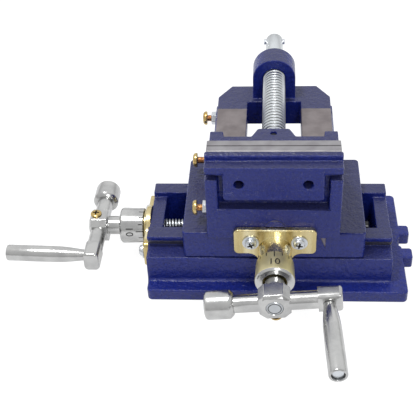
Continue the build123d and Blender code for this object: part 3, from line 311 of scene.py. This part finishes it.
body_paint = Finish("navy_enamel_body")
across = body_paint.split(body_paint.place, 0)
along = body_paint.split(body_paint.place, 1)
height = body_paint.split(body_paint.place, 2)
facing = body_paint.node("ShaderNodeNewGeometry", {}, {}, "Normal")
sideways = body_paint.split(facing, 1)
upwards = body_paint.split(facing, 2)
ragged = 0.0008 * body_paint.noise(260.0, 3.0)
rail_low, rail_high, wall_foot = 0.0770, 0.0776, 0.0472
rail_tops = (height > rail_low) * (height < rail_high) * (along < (ragged + wall_foot)) * (upwards > 0.7)
dovetail_top, dovetail_foot, half_width_squared = 0.0606, 0.0455, 0.00096
dovetail = (height < dovetail_top) * (height > dovetail_foot) * (across * across < half_width_squared)
dovetail = dovetail * (sideways * sideways < 0.2)
bare = (rail_tops + dovetail) > 0.5
milled = (1.0, 1.0, 1.0)
body_paint = bare_under(body_paint, bare, milled, (0.230, 0.203, 0.205), (0.308, 0.276, 0.276))
half_round = ((-0.0060, -0.0413, 0.045), (0.0078, -0.0399, 0.060), 0.3)
body = rounded("vise_body", "vise_body_casting", casting_round, finer=[half_round])
finished(body, body_paint, "vise_body", "vise_body")

# Moving jaw: a cast iron jaw that slides on the rails, with side gussets and a centre boss.
# It wears the same enamel all over, and its keeper and plate are screwed on.

enamel = Finish("navy_enamel")
enamel = enamel.close(enamel_shader(enamel))
jaw_round = 0.0006
jaw = rounded("moving_jaw", "moving_jaw_casting", jaw_round)
finished(jaw, enamel, "moving_jaw", "moving_jaw")

# Jaw plates, keeper and gibs: flat bars of ground steel with slightly broken edges.
# The two jaw plates meet in a fine V, and both are darkened along it: an oil film, plus painted shade in
# the crease.

ground = Finish("ground_steel")
lengthways = (0.05, 1.0, 1.0)
ground = ground.close(ground_shader(ground, lengthways, (0.24, 0.23, 0.24), (0.32, 0.31, 0.32)))
seam_shaded_steel = Finish("ground_steel_painted_seam_shade")
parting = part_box("moving_jaw_plate")[0].y
# Painted shade: both plates are darkened within this reach of their meeting plane, an oil film plus the
# shade in the V.
dark_seam_reach, dark_seam_foot = 0.00045, 0.0990
near = seam_shaded_steel.split(seam_shaded_steel.place, 1) - parting
seam = (near * near < dark_seam_reach**2) * (seam_shaded_steel.split(seam_shaded_steel.place, 2) > dark_seam_foot)
steel = ground_shader(seam_shaded_steel, lengthways, (0.30, 0.29, 0.305), (0.39, 0.38, 0.395))
seam_oil_and_shade = ground_shader(seam_shaded_steel, lengthways, (0.015, 0.014, 0.014), (0.03, 0.03, 0.03))
seam_shaded_steel = seam_shaded_steel.close(seam_shaded_steel.node("ShaderNodeMixShader", {}, {0: 0.8 * seam, 1: steel, 2: seam_oil_and_shade}))
broken_edge, plate_edge = 0.00035, 0.0005
for node in ("jaw_keeper", "x_gib", "y_gib"):
    finished(rounded(node, node + "_bar", broken_edge, 2), ground, owner(node), node)
for node in ("fixed_jaw_plate", "moving_jaw_plate"):
    finished(rounded(node, node + "_bar", plate_edge, 3), seam_shaded_steel, owner(node), node)

# Brackets, nuts and washers: pressed plates in yellow zinc, bright washers, bronze feed nuts.
# Each plating keeps the fine turning and stamping marks under it.


def plated(name, first, second, roughness, grain=500.0, bump=0.00001, stretch=(1.0, 1.0, 1.0), bands=90.0):
    """A metal with a colour that drifts between two tones, and fine marks under the plating.

    grain and bands are the scales of the marks and of the drift, both drawn out by stretch.
    """
    finish = Finish(name)
    drift = finish.noise(bands, 4.0, stretch)
    marks = finish.noise(grain, 2.0, stretch)
    return finish.close(
        finish.node(
            "ShaderNodeBsdfPrincipled",
            {},
            {
                "Base Color": finish.blend(drift.between(0.35, 0.65), first, second),
                "Metallic": 1.0,
                "Roughness": roughness + 0.12 * marks,
                "Normal": finish.bump(marks, bump, 0.6),
            },
        )
    )


zinc = plated("bright_zinc", (0.60, 0.63, 0.66), (0.70, 0.72, 0.75), 0.22)
bronze = plated("cast_bronze", (0.45, 0.28, 0.12), (0.55, 0.36, 0.17), 0.38)
yellow_zinc = plated(
    "yellow_zinc",
    (0.52, 0.40, 0.16),
    (0.84, 0.76, 0.50),
    0.20,
    grain=700.0,
    bump=0.00002,
    stretch=(1.0, 1.0, 0.05),
    bands=75.0,
)

pressed_edge, small_edge = 0.0003, 0.00025
for node in ("x_bracket", "y_bracket"):
    finished(rounded(node, node + "_plate", pressed_edge), yellow_zinc, owner(node), node)
for node in ("x_bracket_washers", "y_bracket_washers", "x_gib_nuts", "y_gib_nuts", "drive_cross_pin"):
    finished(rounded(node, node + "_piece", small_edge, 2), zinc, owner(node), node)
for node in ("x_nut", "y_nut"):
    finished(rounded(node, node + "_block", pressed_edge, 2), bronze, owner(node), node)

# Clamping screw: a long screw of bright rolled steel, with a plain end behind and a nose in front.
# Its thread is one turn of an outline, run round and along by the pitch, with painted shade in the root.


def thread(name, radius, pitch, depth, turns, steps=32):
    """A threaded length about Z, from height 0. The outline lists (share of the pitch, inset)."""
    foot, shoulder = 0.82 * depth, 0.06 * depth
    outline = [(0.0, depth), (0.14, foot), (0.34, shoulder), (0.5, 0.0)]
    outline += [(0.66, shoulder), (0.86, foot), (1.0, depth)]
    same_point = 0.000005
    bpy.ops.object.select_all(action="DESELECT")
    bpy.ops.mesh.primitive_grid_add(x_subdivisions=1, y_subdivisions=len(outline) - 1, size=1.0)
    piece = bpy.context.object
    piece.name = name
    bpy.ops.object.mode_set(mode="EDIT")
    bpy.ops.mesh.select_mode(type="VERT")
    bpy.ops.mesh.select_all(action="DESELECT")
    bpy.ops.object.mode_set(mode="OBJECT")
    for corner in piece.data.vertices:
        corner.select = corner.co.x > 0
    bpy.ops.object.mode_set(mode="EDIT")
    bpy.ops.mesh.delete(type="VERT")
    bpy.ops.object.mode_set(mode="OBJECT")
    chain = sorted(piece.data.vertices, key=lambda v: v.co.y)
    for corner, (step, inset) in zip(chain, outline):
        corner.co = (radius - inset, 0.0, step * pitch)
    turn = piece.modifiers.new("turn", "SCREW")
    turn.screw_offset = pitch
    turn.iterations = turns
    turn.steps = steps
    turn.render_steps = steps
    turn.use_merge_vertices = True
    turn.merge_threshold = same_point
    turn.use_normal_calculate = True
    only(piece)
    bpy.ops.object.modifier_apply(modifier=turn.name)
    bpy.ops.object.mode_set(mode="EDIT")
    bpy.ops.mesh.select_all(action="SELECT")
    bpy.ops.mesh.remove_doubles(threshold=same_point)
    bpy.ops.mesh.normals_make_consistent(inside=False)
    bpy.ops.object.mode_set(mode="OBJECT")
    bpy.ops.object.shade_smooth_by_angle(angle=radians(50))
    return piece


def turned(name, steps, sides=64, hollow=False):
    """A turned piece about Z: a disc is extruded through each (radius, height) of its outline.

    A hollow one starts as a ring, and its outline comes back to where it began.
    """
    bpy.ops.object.select_all(action="DESELECT")
    radius, level = steps[0]
    same_point = 0.000001
    bpy.ops.mesh.primitive_circle_add(
        vertices=sides, radius=radius, fill_type="NOTHING" if hollow else "NGON", location=(0.0, 0.0, level)
    )
    piece = bpy.context.object
    piece.name = name
    bpy.ops.object.transform_apply(location=True, rotation=True, scale=True)
    bpy.ops.object.mode_set(mode="EDIT")
    bpy.ops.mesh.select_all(action="SELECT")
    for (r0, z0), (r1, z1) in zip(steps, steps[1:]):
        bpy.ops.mesh.extrude_region_move(TRANSFORM_OT_translate={"value": (0.0, 0.0, z1 - z0)})
        bpy.ops.transform.resize(value=(r1 / r0, r1 / r0, 1.0), center_override=(0.0, 0.0, z1))
    bpy.ops.mesh.select_all(action="SELECT")
    if hollow:
        bpy.ops.mesh.remove_doubles(threshold=same_point)
    bpy.ops.mesh.normals_make_consistent(inside=False)
    bpy.ops.object.mode_set(mode="OBJECT")
    bpy.ops.object.shade_smooth_by_angle(angle=radians(25))
    return piece


def joined(name, *pieces):
    """Several meshes as one object."""
    only(pieces[0])
    for piece in pieces[1:]:
        piece.select_set(True)
    if len(pieces) > 1:
        bpy.ops.object.join()
    pieces[0].name = name
    return pieces[0]


def seat(origin, right, out):
    """The place of a piece that stands on a point, with its Z along out and its X along right."""
    x = Vector(right)
    z = Vector(out)
    y = z.cross(x)
    place = Matrix((x, y, z)).transposed().to_4x4()
    place.translation = Vector(origin)
    return place


def placed(name, piece, *places):
    """One object out of copies of a pattern piece, one at each place. The pattern stays."""
    copies = []
    for place in places:
        copy = bpy.data.objects.new(name, piece.data.copy())
        bpy.context.scene.collection.objects.link(copy)
        copy.data.transform(place)
        copies.append(copy)
    return joined(name, *copies)


def threaded_steel(name, axis, centre, crest, dark, light):
    """Bright rolled thread about one axis, with painted shade darkening its root."""
    root_low, root_high, core = crest - 0.00105, crest - 0.00035, crest - 0.0012
    root_shade_colour, wear_depth = (0.06, 0.06, 0.06), 0.00002
    finish = Finish(name)
    sides = [finish.split(finish.place, i) - middle for i, middle in zip(axis, centre)]
    far = sides[0] * sides[0] + sides[1] * sides[1]
    worn = finish.noise(300.0, 3.0)
    bright = far.between(root_low**2, root_high**2)
    # Painted shade: a band at the thread's root is coloured near black, where shade falls between the
    # ridges.
    shaded_root = (bright + (far < core**2)) < 0.5
    metal = finish.blend(worn, dark, light)
    return finish.close(
        finish.node(
            "ShaderNodeBsdfPrincipled",
            {},
            {
                "Base Color": finish.blend(shaded_root, metal, root_shade_colour),
                "Metallic": 1.0,
                "Roughness": 0.24 + 0.12 * worn,
                "Normal": finish.bump(worn, wear_depth, 0.6),
            },
        )
    )


screw_axis = 0.0918
nose, groove, root, plain, crest = 0.0045, 0.0032, 0.0055, 0.00565, 0.00698
pitch, ridge_depth, first_ridge, ridge_turns = 0.003, 0.0016, 0.0100, 27
main_steel = threaded_steel(
    "rolled_thread", (0, 2), (0.0, screw_axis), crest, (0.66, 0.69, 0.71), (0.78, 0.81, 0.83)
)
front_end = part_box("main_screw")[0]
rod = turned(
    "main_screw_core",
    [
        (0.0039, 0.0),
        (nose, 0.0006),
        (nose, 0.0028),
        (groove, 0.0029),
        (groove, 0.0066),
        (nose, 0.0067),
        (nose, 0.0092),
        (root, 0.0092),
        (root, 0.0937),
        (plain, 0.0943),
        (plain, 0.1251),
        (0.0052, 0.1262),
        (0.0038, 0.1269),
        (0.0016, 0.1272),
    ],
)
ridges = thread("main_screw_ridges", crest, pitch, ridge_depth, ridge_turns, 40)
ridges.data.transform(Matrix.Translation((0.0, 0.0, first_ridge)))
main_screw = joined("main_screw_threaded", rod, ridges)
main_screw.data.transform(seat((0.0, front_end.y, screw_axis), (1.0, 0.0, 0.0), (0.0, 1.0, 0.0)))
finished(main_screw, main_steel, "main_screw", "main_screw")

# Leadscrews: one for each slide, of rolled steel, with a thrust collar behind the bracket plate.
# In front of the plate's face a plain shaft, reach long, carries the dial and the crank.
# Both trains follow one plan: distances out from the face, and turns and leans in degrees.

trains = {
    "y": {
        "face": (0.0009, -0.0403, 0.0400),
        "right": Vector((1.0, 0.0, 0.0)),
        "out": Vector((0.0, -1.0, 0.0)),
        "reach": 0.0512,
        "length": 0.0767,
        "dial_at": 0.0165,
        "dial_turn": -1.5,
        "crank_turn": 5.5,
        "grip_lean": 2.6,
        "screw_side": -1.0,
    },
    "x": {
        "face": (-0.0770, 0.0, 0.0205),
        "right": Vector((0.0, -1.0, 0.0)),
        "out": Vector((-1.0, 0.0, 0.0)),
        "reach": 0.0397,
        "length": 0.1370,
        "dial_at": 0.0050,
        "dial_turn": 71.7,
        "crank_turn": 2.0,
        "grip_lean": -2.2,
        "screw_side": 1.0,
    },
}
root, crest, pitch, ridge_depth = 0.0036, 0.00448, 0.002, 0.0009
shaft, collar, collar_edge, collar_back = 0.00475, 0.0074, 0.0071, -0.0045
for axis, train in trains.items():
    core = turned(
        axis + "_leadscrew_core",
        [
            (0.0026, -train["length"]),
            (root, 0.0010 - train["length"]),
            (root, collar_back),
            (collar_edge, collar_back),
            (collar, -0.0042),
            (collar, -0.0004),
            (collar_edge, -0.0001),
            (shaft, 0.0),
            (shaft, train["reach"] - 0.0004),
            (0.00435, train["reach"]),
        ],
    )
    turns = int((train["length"] - 0.0060) / pitch)
    ridges = thread(axis + "_leadscrew_ridges", crest, pitch, ridge_depth, turns)
    ridges.data.transform(Matrix.Translation((0.0, 0.0, -0.0046 - pitch * turns)))
    screw = joined(axis + "_leadscrew_threaded", core, ridges)
    screw.data.transform(seat(train["face"], train["right"], train["out"]))
    sides = (0, 2) if axis == "y" else (1, 2)
    centre = [train["face"][side] for side in sides]
    steel = threaded_steel(
        axis + "_leadscrew_thread", sides, centre, crest, (0.44, 0.46, 0.48), (0.54, 0.56, 0.58)
    )
    finished(screw, steel, owner(axis + "_leadscrew"), axis + "_leadscrew")

# Small screws: pan heads with a cross recess, and set screws with a hexagon recess.
# The bracket screws are bright zinc, the gib and hub screws yellow, and the set screws black.
# A pan head is turned, two wedges cut its recess, which is coloured dark as painted shade, and a thread is
# added where it shows.


def cut(piece, *cutters):
    """Takes the cutters' shapes out of a piece."""
    for cutter in cutters:
        cutter.hide_render = True
        notch = piece.modifiers.new("cut", "BOOLEAN")
        notch.operation = "DIFFERENCE"
        notch.solver = "EXACT"
        notch.object = cutter
        only(piece)
        bpy.ops.object.modifier_apply(modifier=notch.name)
        bpy.data.objects.remove(cutter)
    bpy.ops.object.shade_smooth_by_angle(angle=radians(25))
    return piece


def wedge(name, length, width, depth, top):
    """A bar that narrows downwards, one of the two that cut a cross recess."""
    middle = top - depth / 2
    end_share, side_share = 0.35, 0.6
    bpy.ops.object.select_all(action="DESELECT")
    bpy.ops.mesh.primitive_cube_add(size=1.0, location=(0.0, 0.0, middle), scale=(length, width, depth))
    bar = bpy.context.object
    bar.name = name
    bpy.ops.object.transform_apply(location=True, rotation=True, scale=True)
    bpy.ops.object.mode_set(mode="EDIT")
    bpy.ops.mesh.select_mode(type="VERT")
    bpy.ops.mesh.select_all(action="DESELECT")
    bpy.ops.object.mode_set(mode="OBJECT")
    for corner in bar.data.vertices:
        corner.select = corner.co.z < middle
    bpy.ops.object.mode_set(mode="EDIT")
    bpy.ops.transform.resize(value=(end_share, side_share, 1.0), center_override=(0.0, 0.0, top - depth))
    bpy.ops.object.mode_set(mode="OBJECT")
    return bar


def pan_screw(name, shank, head, rise, length, metal, thread_metal=None):
    """A pan-head screw about Z, seated at height 0, with a cross recess coloured dark as painted shade.

    The head's outline is in shares of its radius and its rise.
    """
    threaded = thread_metal is not None
    pitch, ridge_depth = 0.0008, 0.00036
    core = shank * (0.8 if threaded else 1.0)
    screw = turned(
        name,
        [
            (shank * 0.6, -length),
            (core, -length + 0.0006),
            (core, 0.0),
            (head * 0.96, 0.0),
            (head, 0.12 * rise),
            (head, 0.38 * rise),
            (head * 0.95, 0.62 * rise),
            (head * 0.82, 0.83 * rise),
            (head * 0.62, 0.94 * rise),
            (head * 0.40, 0.985 * rise),
            (head * 0.15, rise),
        ],
        40,
    )
    long, wide, deep, proud = 1.3 * head, 0.32 * head, 0.8 * rise, rise * 1.02
    bars = [wedge(name + "_bar", long, wide, deep, proud) for _ in range(2)]
    bars[1].data.transform(Matrix.Rotation(pi / 2, 4, "Z"))
    for piece in (screw, *bars):
        for material in (metal, thread_metal or metal, recess_shade):
            piece.data.materials.append(material)
    for bar in bars:
        for face in bar.data.polygons:
            face.material_index = 2
    cut(screw, *bars)
    if threaded:
        turns = int((length - pitch) / pitch)
        ridges = thread(name + "_ridges", shank, pitch, ridge_depth, turns, 24)
        ridges.data.transform(Matrix.Translation((0.0, 0.0, -pitch * turns - 0.0001)))
        screw = joined(name, screw, ridges)
    for face in screw.data.polygons:
        if face.center.z < -0.0001:
            face.material_index = 1
    return screw


def socket_screw(name, radius, low, high, flats):
    """A headless screw about Z with a hexagon recess in its top, flats wide."""
    tip, rim = radius * 0.8, radius * 0.9
    screw = turned(name, [(tip, low), (radius, low + 0.0004), (radius, high - 0.0003), (rim, high)], 32)
    corner_radius, twice_deep = flats / 1.732, 0.004
    bpy.ops.object.select_all(action="DESELECT")
    bpy.ops.mesh.primitive_cylinder_add(
        vertices=6, radius=corner_radius, depth=twice_deep, location=(0.0, 0.0, high)
    )
    bit = bpy.context.object
    bpy.ops.object.transform_apply(location=True, rotation=True, scale=True)
    return cut(screw, bit)


brass = plated("yellow_chromate", (0.52, 0.36, 0.13), (0.60, 0.46, 0.20), 0.20)
copper = plated("yellow_chromate_thread", (0.50, 0.25, 0.11), (0.60, 0.36, 0.17), 0.24)
black_oxide = plated("black_oxide", (0.05, 0.05, 0.055), (0.08, 0.08, 0.085), 0.35)
# Painted shade for the cross recesses of the pan heads.
recess_shade = plated("recess_painted_shade", (0.03, 0.028, 0.025), (0.07, 0.06, 0.05), 0.6)

shank = 0.0022
bracket_screw = pan_screw("bracket_screw", shank, head=0.0034, rise=0.0024, length=0.0100, metal=zinc)
turn_a, turn_b = Matrix.Rotation(radians(24), 4, "Z"), Matrix.Rotation(radians(-12), 4, "Z")
facing_front = ((1.0, 0.0, 0.0), (0.0, -1.0, 0.0))
facing_left = ((0.0, -1.0, 0.0), (-1.0, 0.0, 0.0))
finished(
    placed(
        "y_bracket_screws_piece",
        bracket_screw,
        seat((-0.0131, -0.0447, 0.0456), *facing_front) @ turn_a,
        seat((0.0149, -0.0447, 0.0456), *facing_front) @ turn_b,
    ),
    zinc,
    "saddle",
    "y_bracket_screws",
)
finished(
    placed(
        "x_bracket_screws_piece",
        bracket_screw,
        seat((-0.0814, -0.0198, 0.0169), *facing_left) @ turn_b,
        seat((-0.0814, 0.0198, 0.0169), *facing_left) @ turn_a,
    ),
    zinc,
    "base",
    "x_bracket_screws",
)
bpy.data.objects.remove(bracket_screw)

gib_screw = pan_screw(
    "gib_screw", shank, head=0.0045, rise=0.0029, length=0.0162, metal=brass, thread_metal=copper
)
side_wall, side_level = -0.0384, 0.0560
side_screws = ((-0.0249, 0.0066, 0.3), (0.0220, 0.0096, 0.9), (0.0690, 0.0062, 1.3))
finished(
    placed(
        "y_gib_screws_piece",
        gib_screw,
        *[
            seat((side_wall - stand, y, side_level), (0.0, cos(spin), sin(spin)), (-1.0, 0.0, 0.0))
            for y, stand, spin in side_screws
        ],
    ),
    brass,
    owner("y_gib_screws"),
    "y_gib_screws",
)
back_head, back_level = 0.0439, 0.0287
back_screws = ((-0.036, 0.2), (0.0, 1.1), (0.036, 0.7))
finished(
    placed(
        "x_gib_screws_piece",
        gib_screw,
        *[
            seat((x, back_head, back_level), (cos(spin), 0.0, sin(spin)), (0.0, 1.0, 0.0))
            for x, spin in back_screws
        ],
    ),
    brass,
    owner("x_gib_screws"),
    "x_gib_screws",
)
bpy.data.objects.remove(gib_screw)

jaw_bolt = socket_screw("jaw_bolt", radius=0.0025, low=-0.0034, high=0.0032, flats=0.0030)
finished(
    placed(
        "fixed_jaw_screws_piece",
        jaw_bolt,
        seat((-0.0193, -0.0301, 0.0848), *facing_front),
        seat((0.0193, -0.0301, 0.0848), *facing_front) @ turn_a,
    ),
    black_oxide,
    "vise_body",
    "fixed_jaw_screws",
)
bpy.data.objects.remove(jaw_bolt)
fine_edge = 0.0002
for node in ("moving_jaw_screws", "retaining_screw", "jaw_keeper_screws"):
    finished(rounded(node, node + "_piece", fine_edge, 2), black_oxide, owner(node), node)

# Dials: turned collars with an engraved scale, fifteen marks round and a number at every fifth.
# The engraving is filled with black, and a set screw in the side holds the dial on its shaft.

satin = plated("satin_chrome", (0.47, 0.47, 0.465), (0.57, 0.57, 0.56), 0.17, grain=400.0, bump=0.00003)
scale_fill = Finish("engraving_fill")
scale_fill = scale_fill.close(
    scale_fill.node(
        "ShaderNodeBsdfPrincipled",
        {},
        {"Base Color": (0.012, 0.012, 0.011), "Roughness": 0.5 + 0.2 * scale_fill.noise(400.0)},
    )
)


def engraving(angle, level, shape):
    """Bends a flat mark round the dial. Its X runs round, its Y towards the plate, its Z outwards."""
    true_width_radius, middle_radius = 0.0111, 0.0110
    for corner in shape.data.vertices:
        u, v, h = corner.co
        around = angle + u / true_width_radius
        out = middle_radius + h
        corner.co = (out * sin(around), out * cos(around), level - v)
    return shape


def engraved_dial():
    """The dial about Z, back edge at height 0, with its first mark on the Y side.

    Its material slots are side, engraving and front.
    """
    bore, recess, recess_floor, front, front_round = 0.00477, 0.0068, 0.0080, 0.0150, 0.0140
    dial = turned(
        "dial",
        [
            (bore, 0.0),
            (0.0106, 0.0),
            (0.0109, 0.0003),
            (0.0113, 0.0132),
            (0.0112, 0.0138),
            (0.0107, 0.0145),
            (0.0100, front),
            (0.0072, front),
            (recess, 0.0146),
            (recess, recess_floor),
            (bore, recess_floor),
            (bore, 0.0),
        ],
        120,
        hollow=True,
    )
    width, overrun, height, number_level = 0.0006, 0.0006, 0.0012, 0.0108
    marks = []
    for step in range(15):
        angle = radians(24.0) * step
        long_mark = step % 5 == 0
        reach = 0.0046 if long_mark else 0.0030
        bpy.ops.object.select_all(action="DESELECT")
        bpy.ops.mesh.primitive_cube_add(size=1.0, scale=(width, reach + overrun, height))
        tick = bpy.context.object
        bpy.ops.object.transform_apply(location=True, rotation=True, scale=True)
        marks.append(engraving(angle, (reach - overrun) / 2, tick))
        if long_mark:
            bpy.ops.object.select_all(action="DESELECT")
            bpy.ops.object.text_add()
            number = bpy.context.object
            number.data.body = str((10, 0, 5)[step // 5])
            number.data.align_x = "CENTER"
            number.data.size = 0.0066
            number.data.space_character = 1.1
            number.data.extrude = height / 2
            bpy.ops.object.convert(target="MESH")
            marks.append(engraving(angle, number_level, bpy.context.object))
    cutter = joined("dial_marks", *marks)
    cutter.data.materials.clear()
    for piece in (dial, cutter):
        piece.data.materials.append(satin)
        piece.data.materials.append(scale_fill)
        piece.data.materials.append(satin)
    for face in cutter.data.polygons:
        face.material_index = 1
    for face in dial.data.polygons:
        if face.center.z > front_round:
            face.material_index = 2
    return cut(dial, cutter)


dial = engraved_dial()
dial_screw = socket_screw("dial_screw", radius=0.0019, low=0.0049, high=0.0100, flats=0.0017)
screw_ahead = 0.0040
# The front dial is coloured warm gold as a painted reflection of the yellow bracket behind it; the side
# dial stays plain satin chrome.
bracket_reflection_gold = plated("bracket_reflection_gold", (0.80, 0.71, 0.36), (0.88, 0.79, 0.45), 0.38, grain=400.0, bump=0.00002)
dial_finish = {"x": satin, "y": bracket_reflection_gold}
for axis, train in trains.items():
    out, right = train["out"], train["right"]
    back_edge = Vector(train["face"]) + out * train["dial_at"]
    spun = Matrix.Rotation(-radians(train["dial_turn"]), 4, "Z")
    piece = placed(axis + "_dial_piece", dial, seat(back_edge, right, out) @ spun)
    piece.data.materials[0] = dial_finish[axis]
    finished(piece, satin, owner(axis + "_dial"), axis + "_dial")
    stand = seat(back_edge + out * screw_ahead, out, -right)
    piece = placed(axis + "_dial_set_screw_piece", dial_screw, stand)
    finished(piece, black_oxide, owner(axis + "_dial"), axis + "_dial_set_screw")
bpy.data.objects.remove(dial)
bpy.data.objects.remove(dial_screw)

# Balanced cranks: a hub clamped on the shaft, a counterweight at one end and a block at the other.
# All die-cast, buffed and chromed, and a yellow screw fixes the hub.

weight = turned(
    "counterweight",
    [
        (0.0051, 0.0),
        (0.0060, 0.0),
        (0.0064, 0.0002),
        (0.0079, 0.0018),
        (0.0081, 0.0022),
        (0.0081, 0.0139),
        (0.0079, 0.0149),
        (0.0073, 0.0156),
        (0.0064, 0.0160),
        (0.0030, 0.0161),
        (0.0008, 0.0161),
    ],
    72,
)
hub_screw = pan_screw("hub_screw", shank, head=0.0035, rise=0.0015, length=0.0038, metal=brass)
hub_ahead, weight_reach = 0.0291, 0.0225
grip_reach, grip_ahead = 0.0296, 0.0048
hub_screw_ahead, hub_wall = 0.0016, 0.0088
rod_joints = ((-0.0126, -0.0070), (0.0070, 0.0126), (0.0215, 0.0246))
rod_deep, rod_high, arm_edge = 0.0070, 0.0075, 0.0005
for axis, train in trains.items():
    out, right = train["out"], train["right"]
    turn = radians(train["crank_turn"])
    lean = radians(train["grip_lean"])
    up = out.cross(right)
    along = right * cos(turn) + up * sin(turn)
    across = up * cos(turn) - right * sin(turn)
    centre = Vector(train["face"]) + out * (train["dial_at"] + hub_ahead)
    joints = []
    for start, end in rod_joints:
        corners = [
            centre + right * reach + out * rod_deep * side + Vector((0.0, 0.0, rod_high * side))
            for reach, side in ((start, -1.0), (end, 1.0))
        ]
        joints.append(([min(pair) for pair in zip(*corners)], [max(pair) for pair in zip(*corners)], 0.0))
    arm = rounded(axis + "_crank_arm", axis + "_crank_arm_piece", arm_edge, finer=joints)
    finished(arm, satin, owner(axis + "_crank_arm"), axis + "_crank_arm")
    stand = seat(centre - along * weight_reach, out, -along)
    piece = placed(axis + "_counterweight_piece", weight, stand)
    finished(piece, satin, owner(axis + "_counterweight"), axis + "_counterweight")
    side = across * train["screw_side"]
    stand = seat(centre + out * hub_screw_ahead + side * hub_wall, along, side)
    piece = placed(axis + "_hub_screw_piece", hub_screw, stand)
    finished(piece, brass, owner(axis + "_crank_set_screw"), axis + "_crank_set_screw")
    leaning = out * cos(lean) + along * sin(lean)
    beside = along * cos(lean) - out * sin(lean)
    train["grip_place"] = seat(centre + along * grip_reach + out * grip_ahead, beside, leaning)
bpy.data.objects.remove(weight)
bpy.data.objects.remove(hub_screw)

# Grips: turned handles, slim at the block, of the same satin chrome as the cranks.
# Each spins on a spindle of bright zinc, whose head keeps it from sliding off.

bore, neck, foot, head_bore, head_floor, tip = 0.00257, 0.0034, 0.0003, 0.0036, 0.0466, 0.0492
growth, swell_length, steps = 0.0016, 0.0182, 8
swell = [
    (neck + growth * sin(pi / 2 * k / steps) ** 1.15, foot + swell_length * k / steps)
    for k in range(steps + 1)
]
grip = turned(
    "grip",
    [(bore, foot), (0.0031, foot)]
    + swell
    + [
        (0.00505, 0.0300),
        (0.0050, 0.0483),
        (0.0048, 0.0489),
        (0.0043, tip),
        (0.0038, tip),
        (head_bore, 0.0490),
        (head_bore, head_floor),
        (bore, head_floor),
        (bore, foot),
    ],
    64,
    hollow=True,
)
pin, head_seat = 0.0025, 0.04665
spindle = turned(
    "spindle",
    [
        (pin, -0.0045),
        (pin, head_seat),
        (0.0033, head_seat),
        (0.0034, 0.0472),
        (0.0030, 0.0479),
        (0.0018, 0.04822),
    ],
    48,
)
for axis, train in trains.items():
    piece = placed(axis + "_grip_piece", grip, train["grip_place"])
    finished(piece, satin, owner(axis + "_grip"), axis + "_grip")
    piece = placed(axis + "_grip_spindle_piece", spindle, train["grip_place"])
    finished(piece, zinc, owner(axis + "_grip_spindle"), axis + "_grip_spindle")
bpy.data.objects.remove(grip)
bpy.data.objects.remove(spindle)

# Studio: a pale floor that shows white, under a wide soft sky that is darker to the front and low down.
# Two soft boxes light the vise, one from above and one from the front right.
# The camera stands where the one of the photograph stood, in front and above, and tilts a little.

bpy.ops.object.select_all(action="DESELECT")
bpy.ops.mesh.primitive_plane_add(size=8.0, location=(0.0, 0.0, -0.0001))
floor = bpy.context.object
floor.name = "studio_floor"
pale = Finish("studio_pale")
seen = pale.node("ShaderNodeLightPath", {}, {}, "Is Camera Ray")
for ray in ("Is Glossy Ray", "Is Transmission Ray"):
    seen = seen + 0.45 * pale.node("ShaderNodeLightPath", {}, {}, ray)
matt = pale.node("ShaderNodeBsdfDiffuse", {}, {"Color": (0.78, 0.78, 0.79)})
glow = pale.node("ShaderNodeEmission", {}, {"Color": (1.0, 1.0, 1.0), "Strength": 1.22})
pale = pale.close(pale.node("ShaderNodeMixShader", {}, {0: 0.75 * seen, 1: matt, 2: glow}))
floor.data.materials.append(pale)

sky = Finish("studio", bpy.data.worlds)
way = sky.node("ShaderNodeTexCoord", {}, {}, "Generated")
shades = []
for index, low, high, least, most in ((1, -0.9, 0.8, 0.45, 1.0), (2, 0.0, 0.4, 0.35, 1.0)):
    inputs = {0: sky.split(way, index), 1: low, 2: high, 3: least, 4: most}
    shades.append(sky.node("ShaderNodeMapRange", {"interpolation_type": "SMOOTHSTEP"}, inputs))
strength = shades[0] * shades[1]
ambient = sky.node("ShaderNodeBackground", {}, {"Color": (0.97, 0.98, 1.0), "Strength": strength})
white = sky.node("ShaderNodeBackground", {}, {"Color": (1.0, 1.0, 1.0), "Strength": 1.0})
shown = sky.node("ShaderNodeLightPath", {}, {}, "Is Camera Ray")
for ray in ("Is Glossy Ray", "Is Transmission Ray"):
    shown = shown + 0.4 * sky.node("ShaderNodeLightPath", {}, {}, ray)
mixed = sky.node("ShaderNodeMixShader", {}, {0: shown, 1: ambient, 2: white})
bpy.context.scene.world = sky.close(mixed, "ShaderNodeOutputWorld")

for name, place, target, size, power in (
    ("key_light", (-0.35, -0.10, 1.20), (0.0, 0.0, 0.05), 0.25, 6.0),
    ("front_fill", (0.25, -0.9, 0.9), (0.0, 0.0, 0.04), 0.25, 3.5),
):
    lamp = bpy.data.lights.new(name, "AREA")
    lamp.shape = "DISK"
    lamp.size = size
    lamp.energy = power
    holder = bpy.data.objects.new(name, lamp)
    bpy.context.scene.collection.objects.link(holder)
    holder.location = place
    holder.rotation_euler = (Vector(target) - Vector(place)).to_track_quat("-Z", "Y").to_euler()

yaw, pitch, roll = radians(5.6), radians(39.6), radians(-3.4)
standpoint, film_width, focal_length = (0.0014, -0.4328, 0.3947), 36.0, 77.95
forward = Vector((-sin(yaw) * cos(pitch), cos(yaw) * cos(pitch), -sin(pitch)))
level = Vector((cos(yaw), sin(yaw), 0.0))
upright = level.cross(forward)
camera_data = bpy.data.cameras.new("camera")
camera_data.sensor_width = film_width
camera_data.lens = focal_length
camera = bpy.data.objects.new("camera", camera_data)
bpy.context.scene.collection.objects.link(camera)
camera.matrix_world = seat(standpoint, cos(roll) * level + sin(roll) * upright, -forward)
bpy.context.scene.camera = camera
bpy.context.scene.view_settings.view_transform = "Standard"
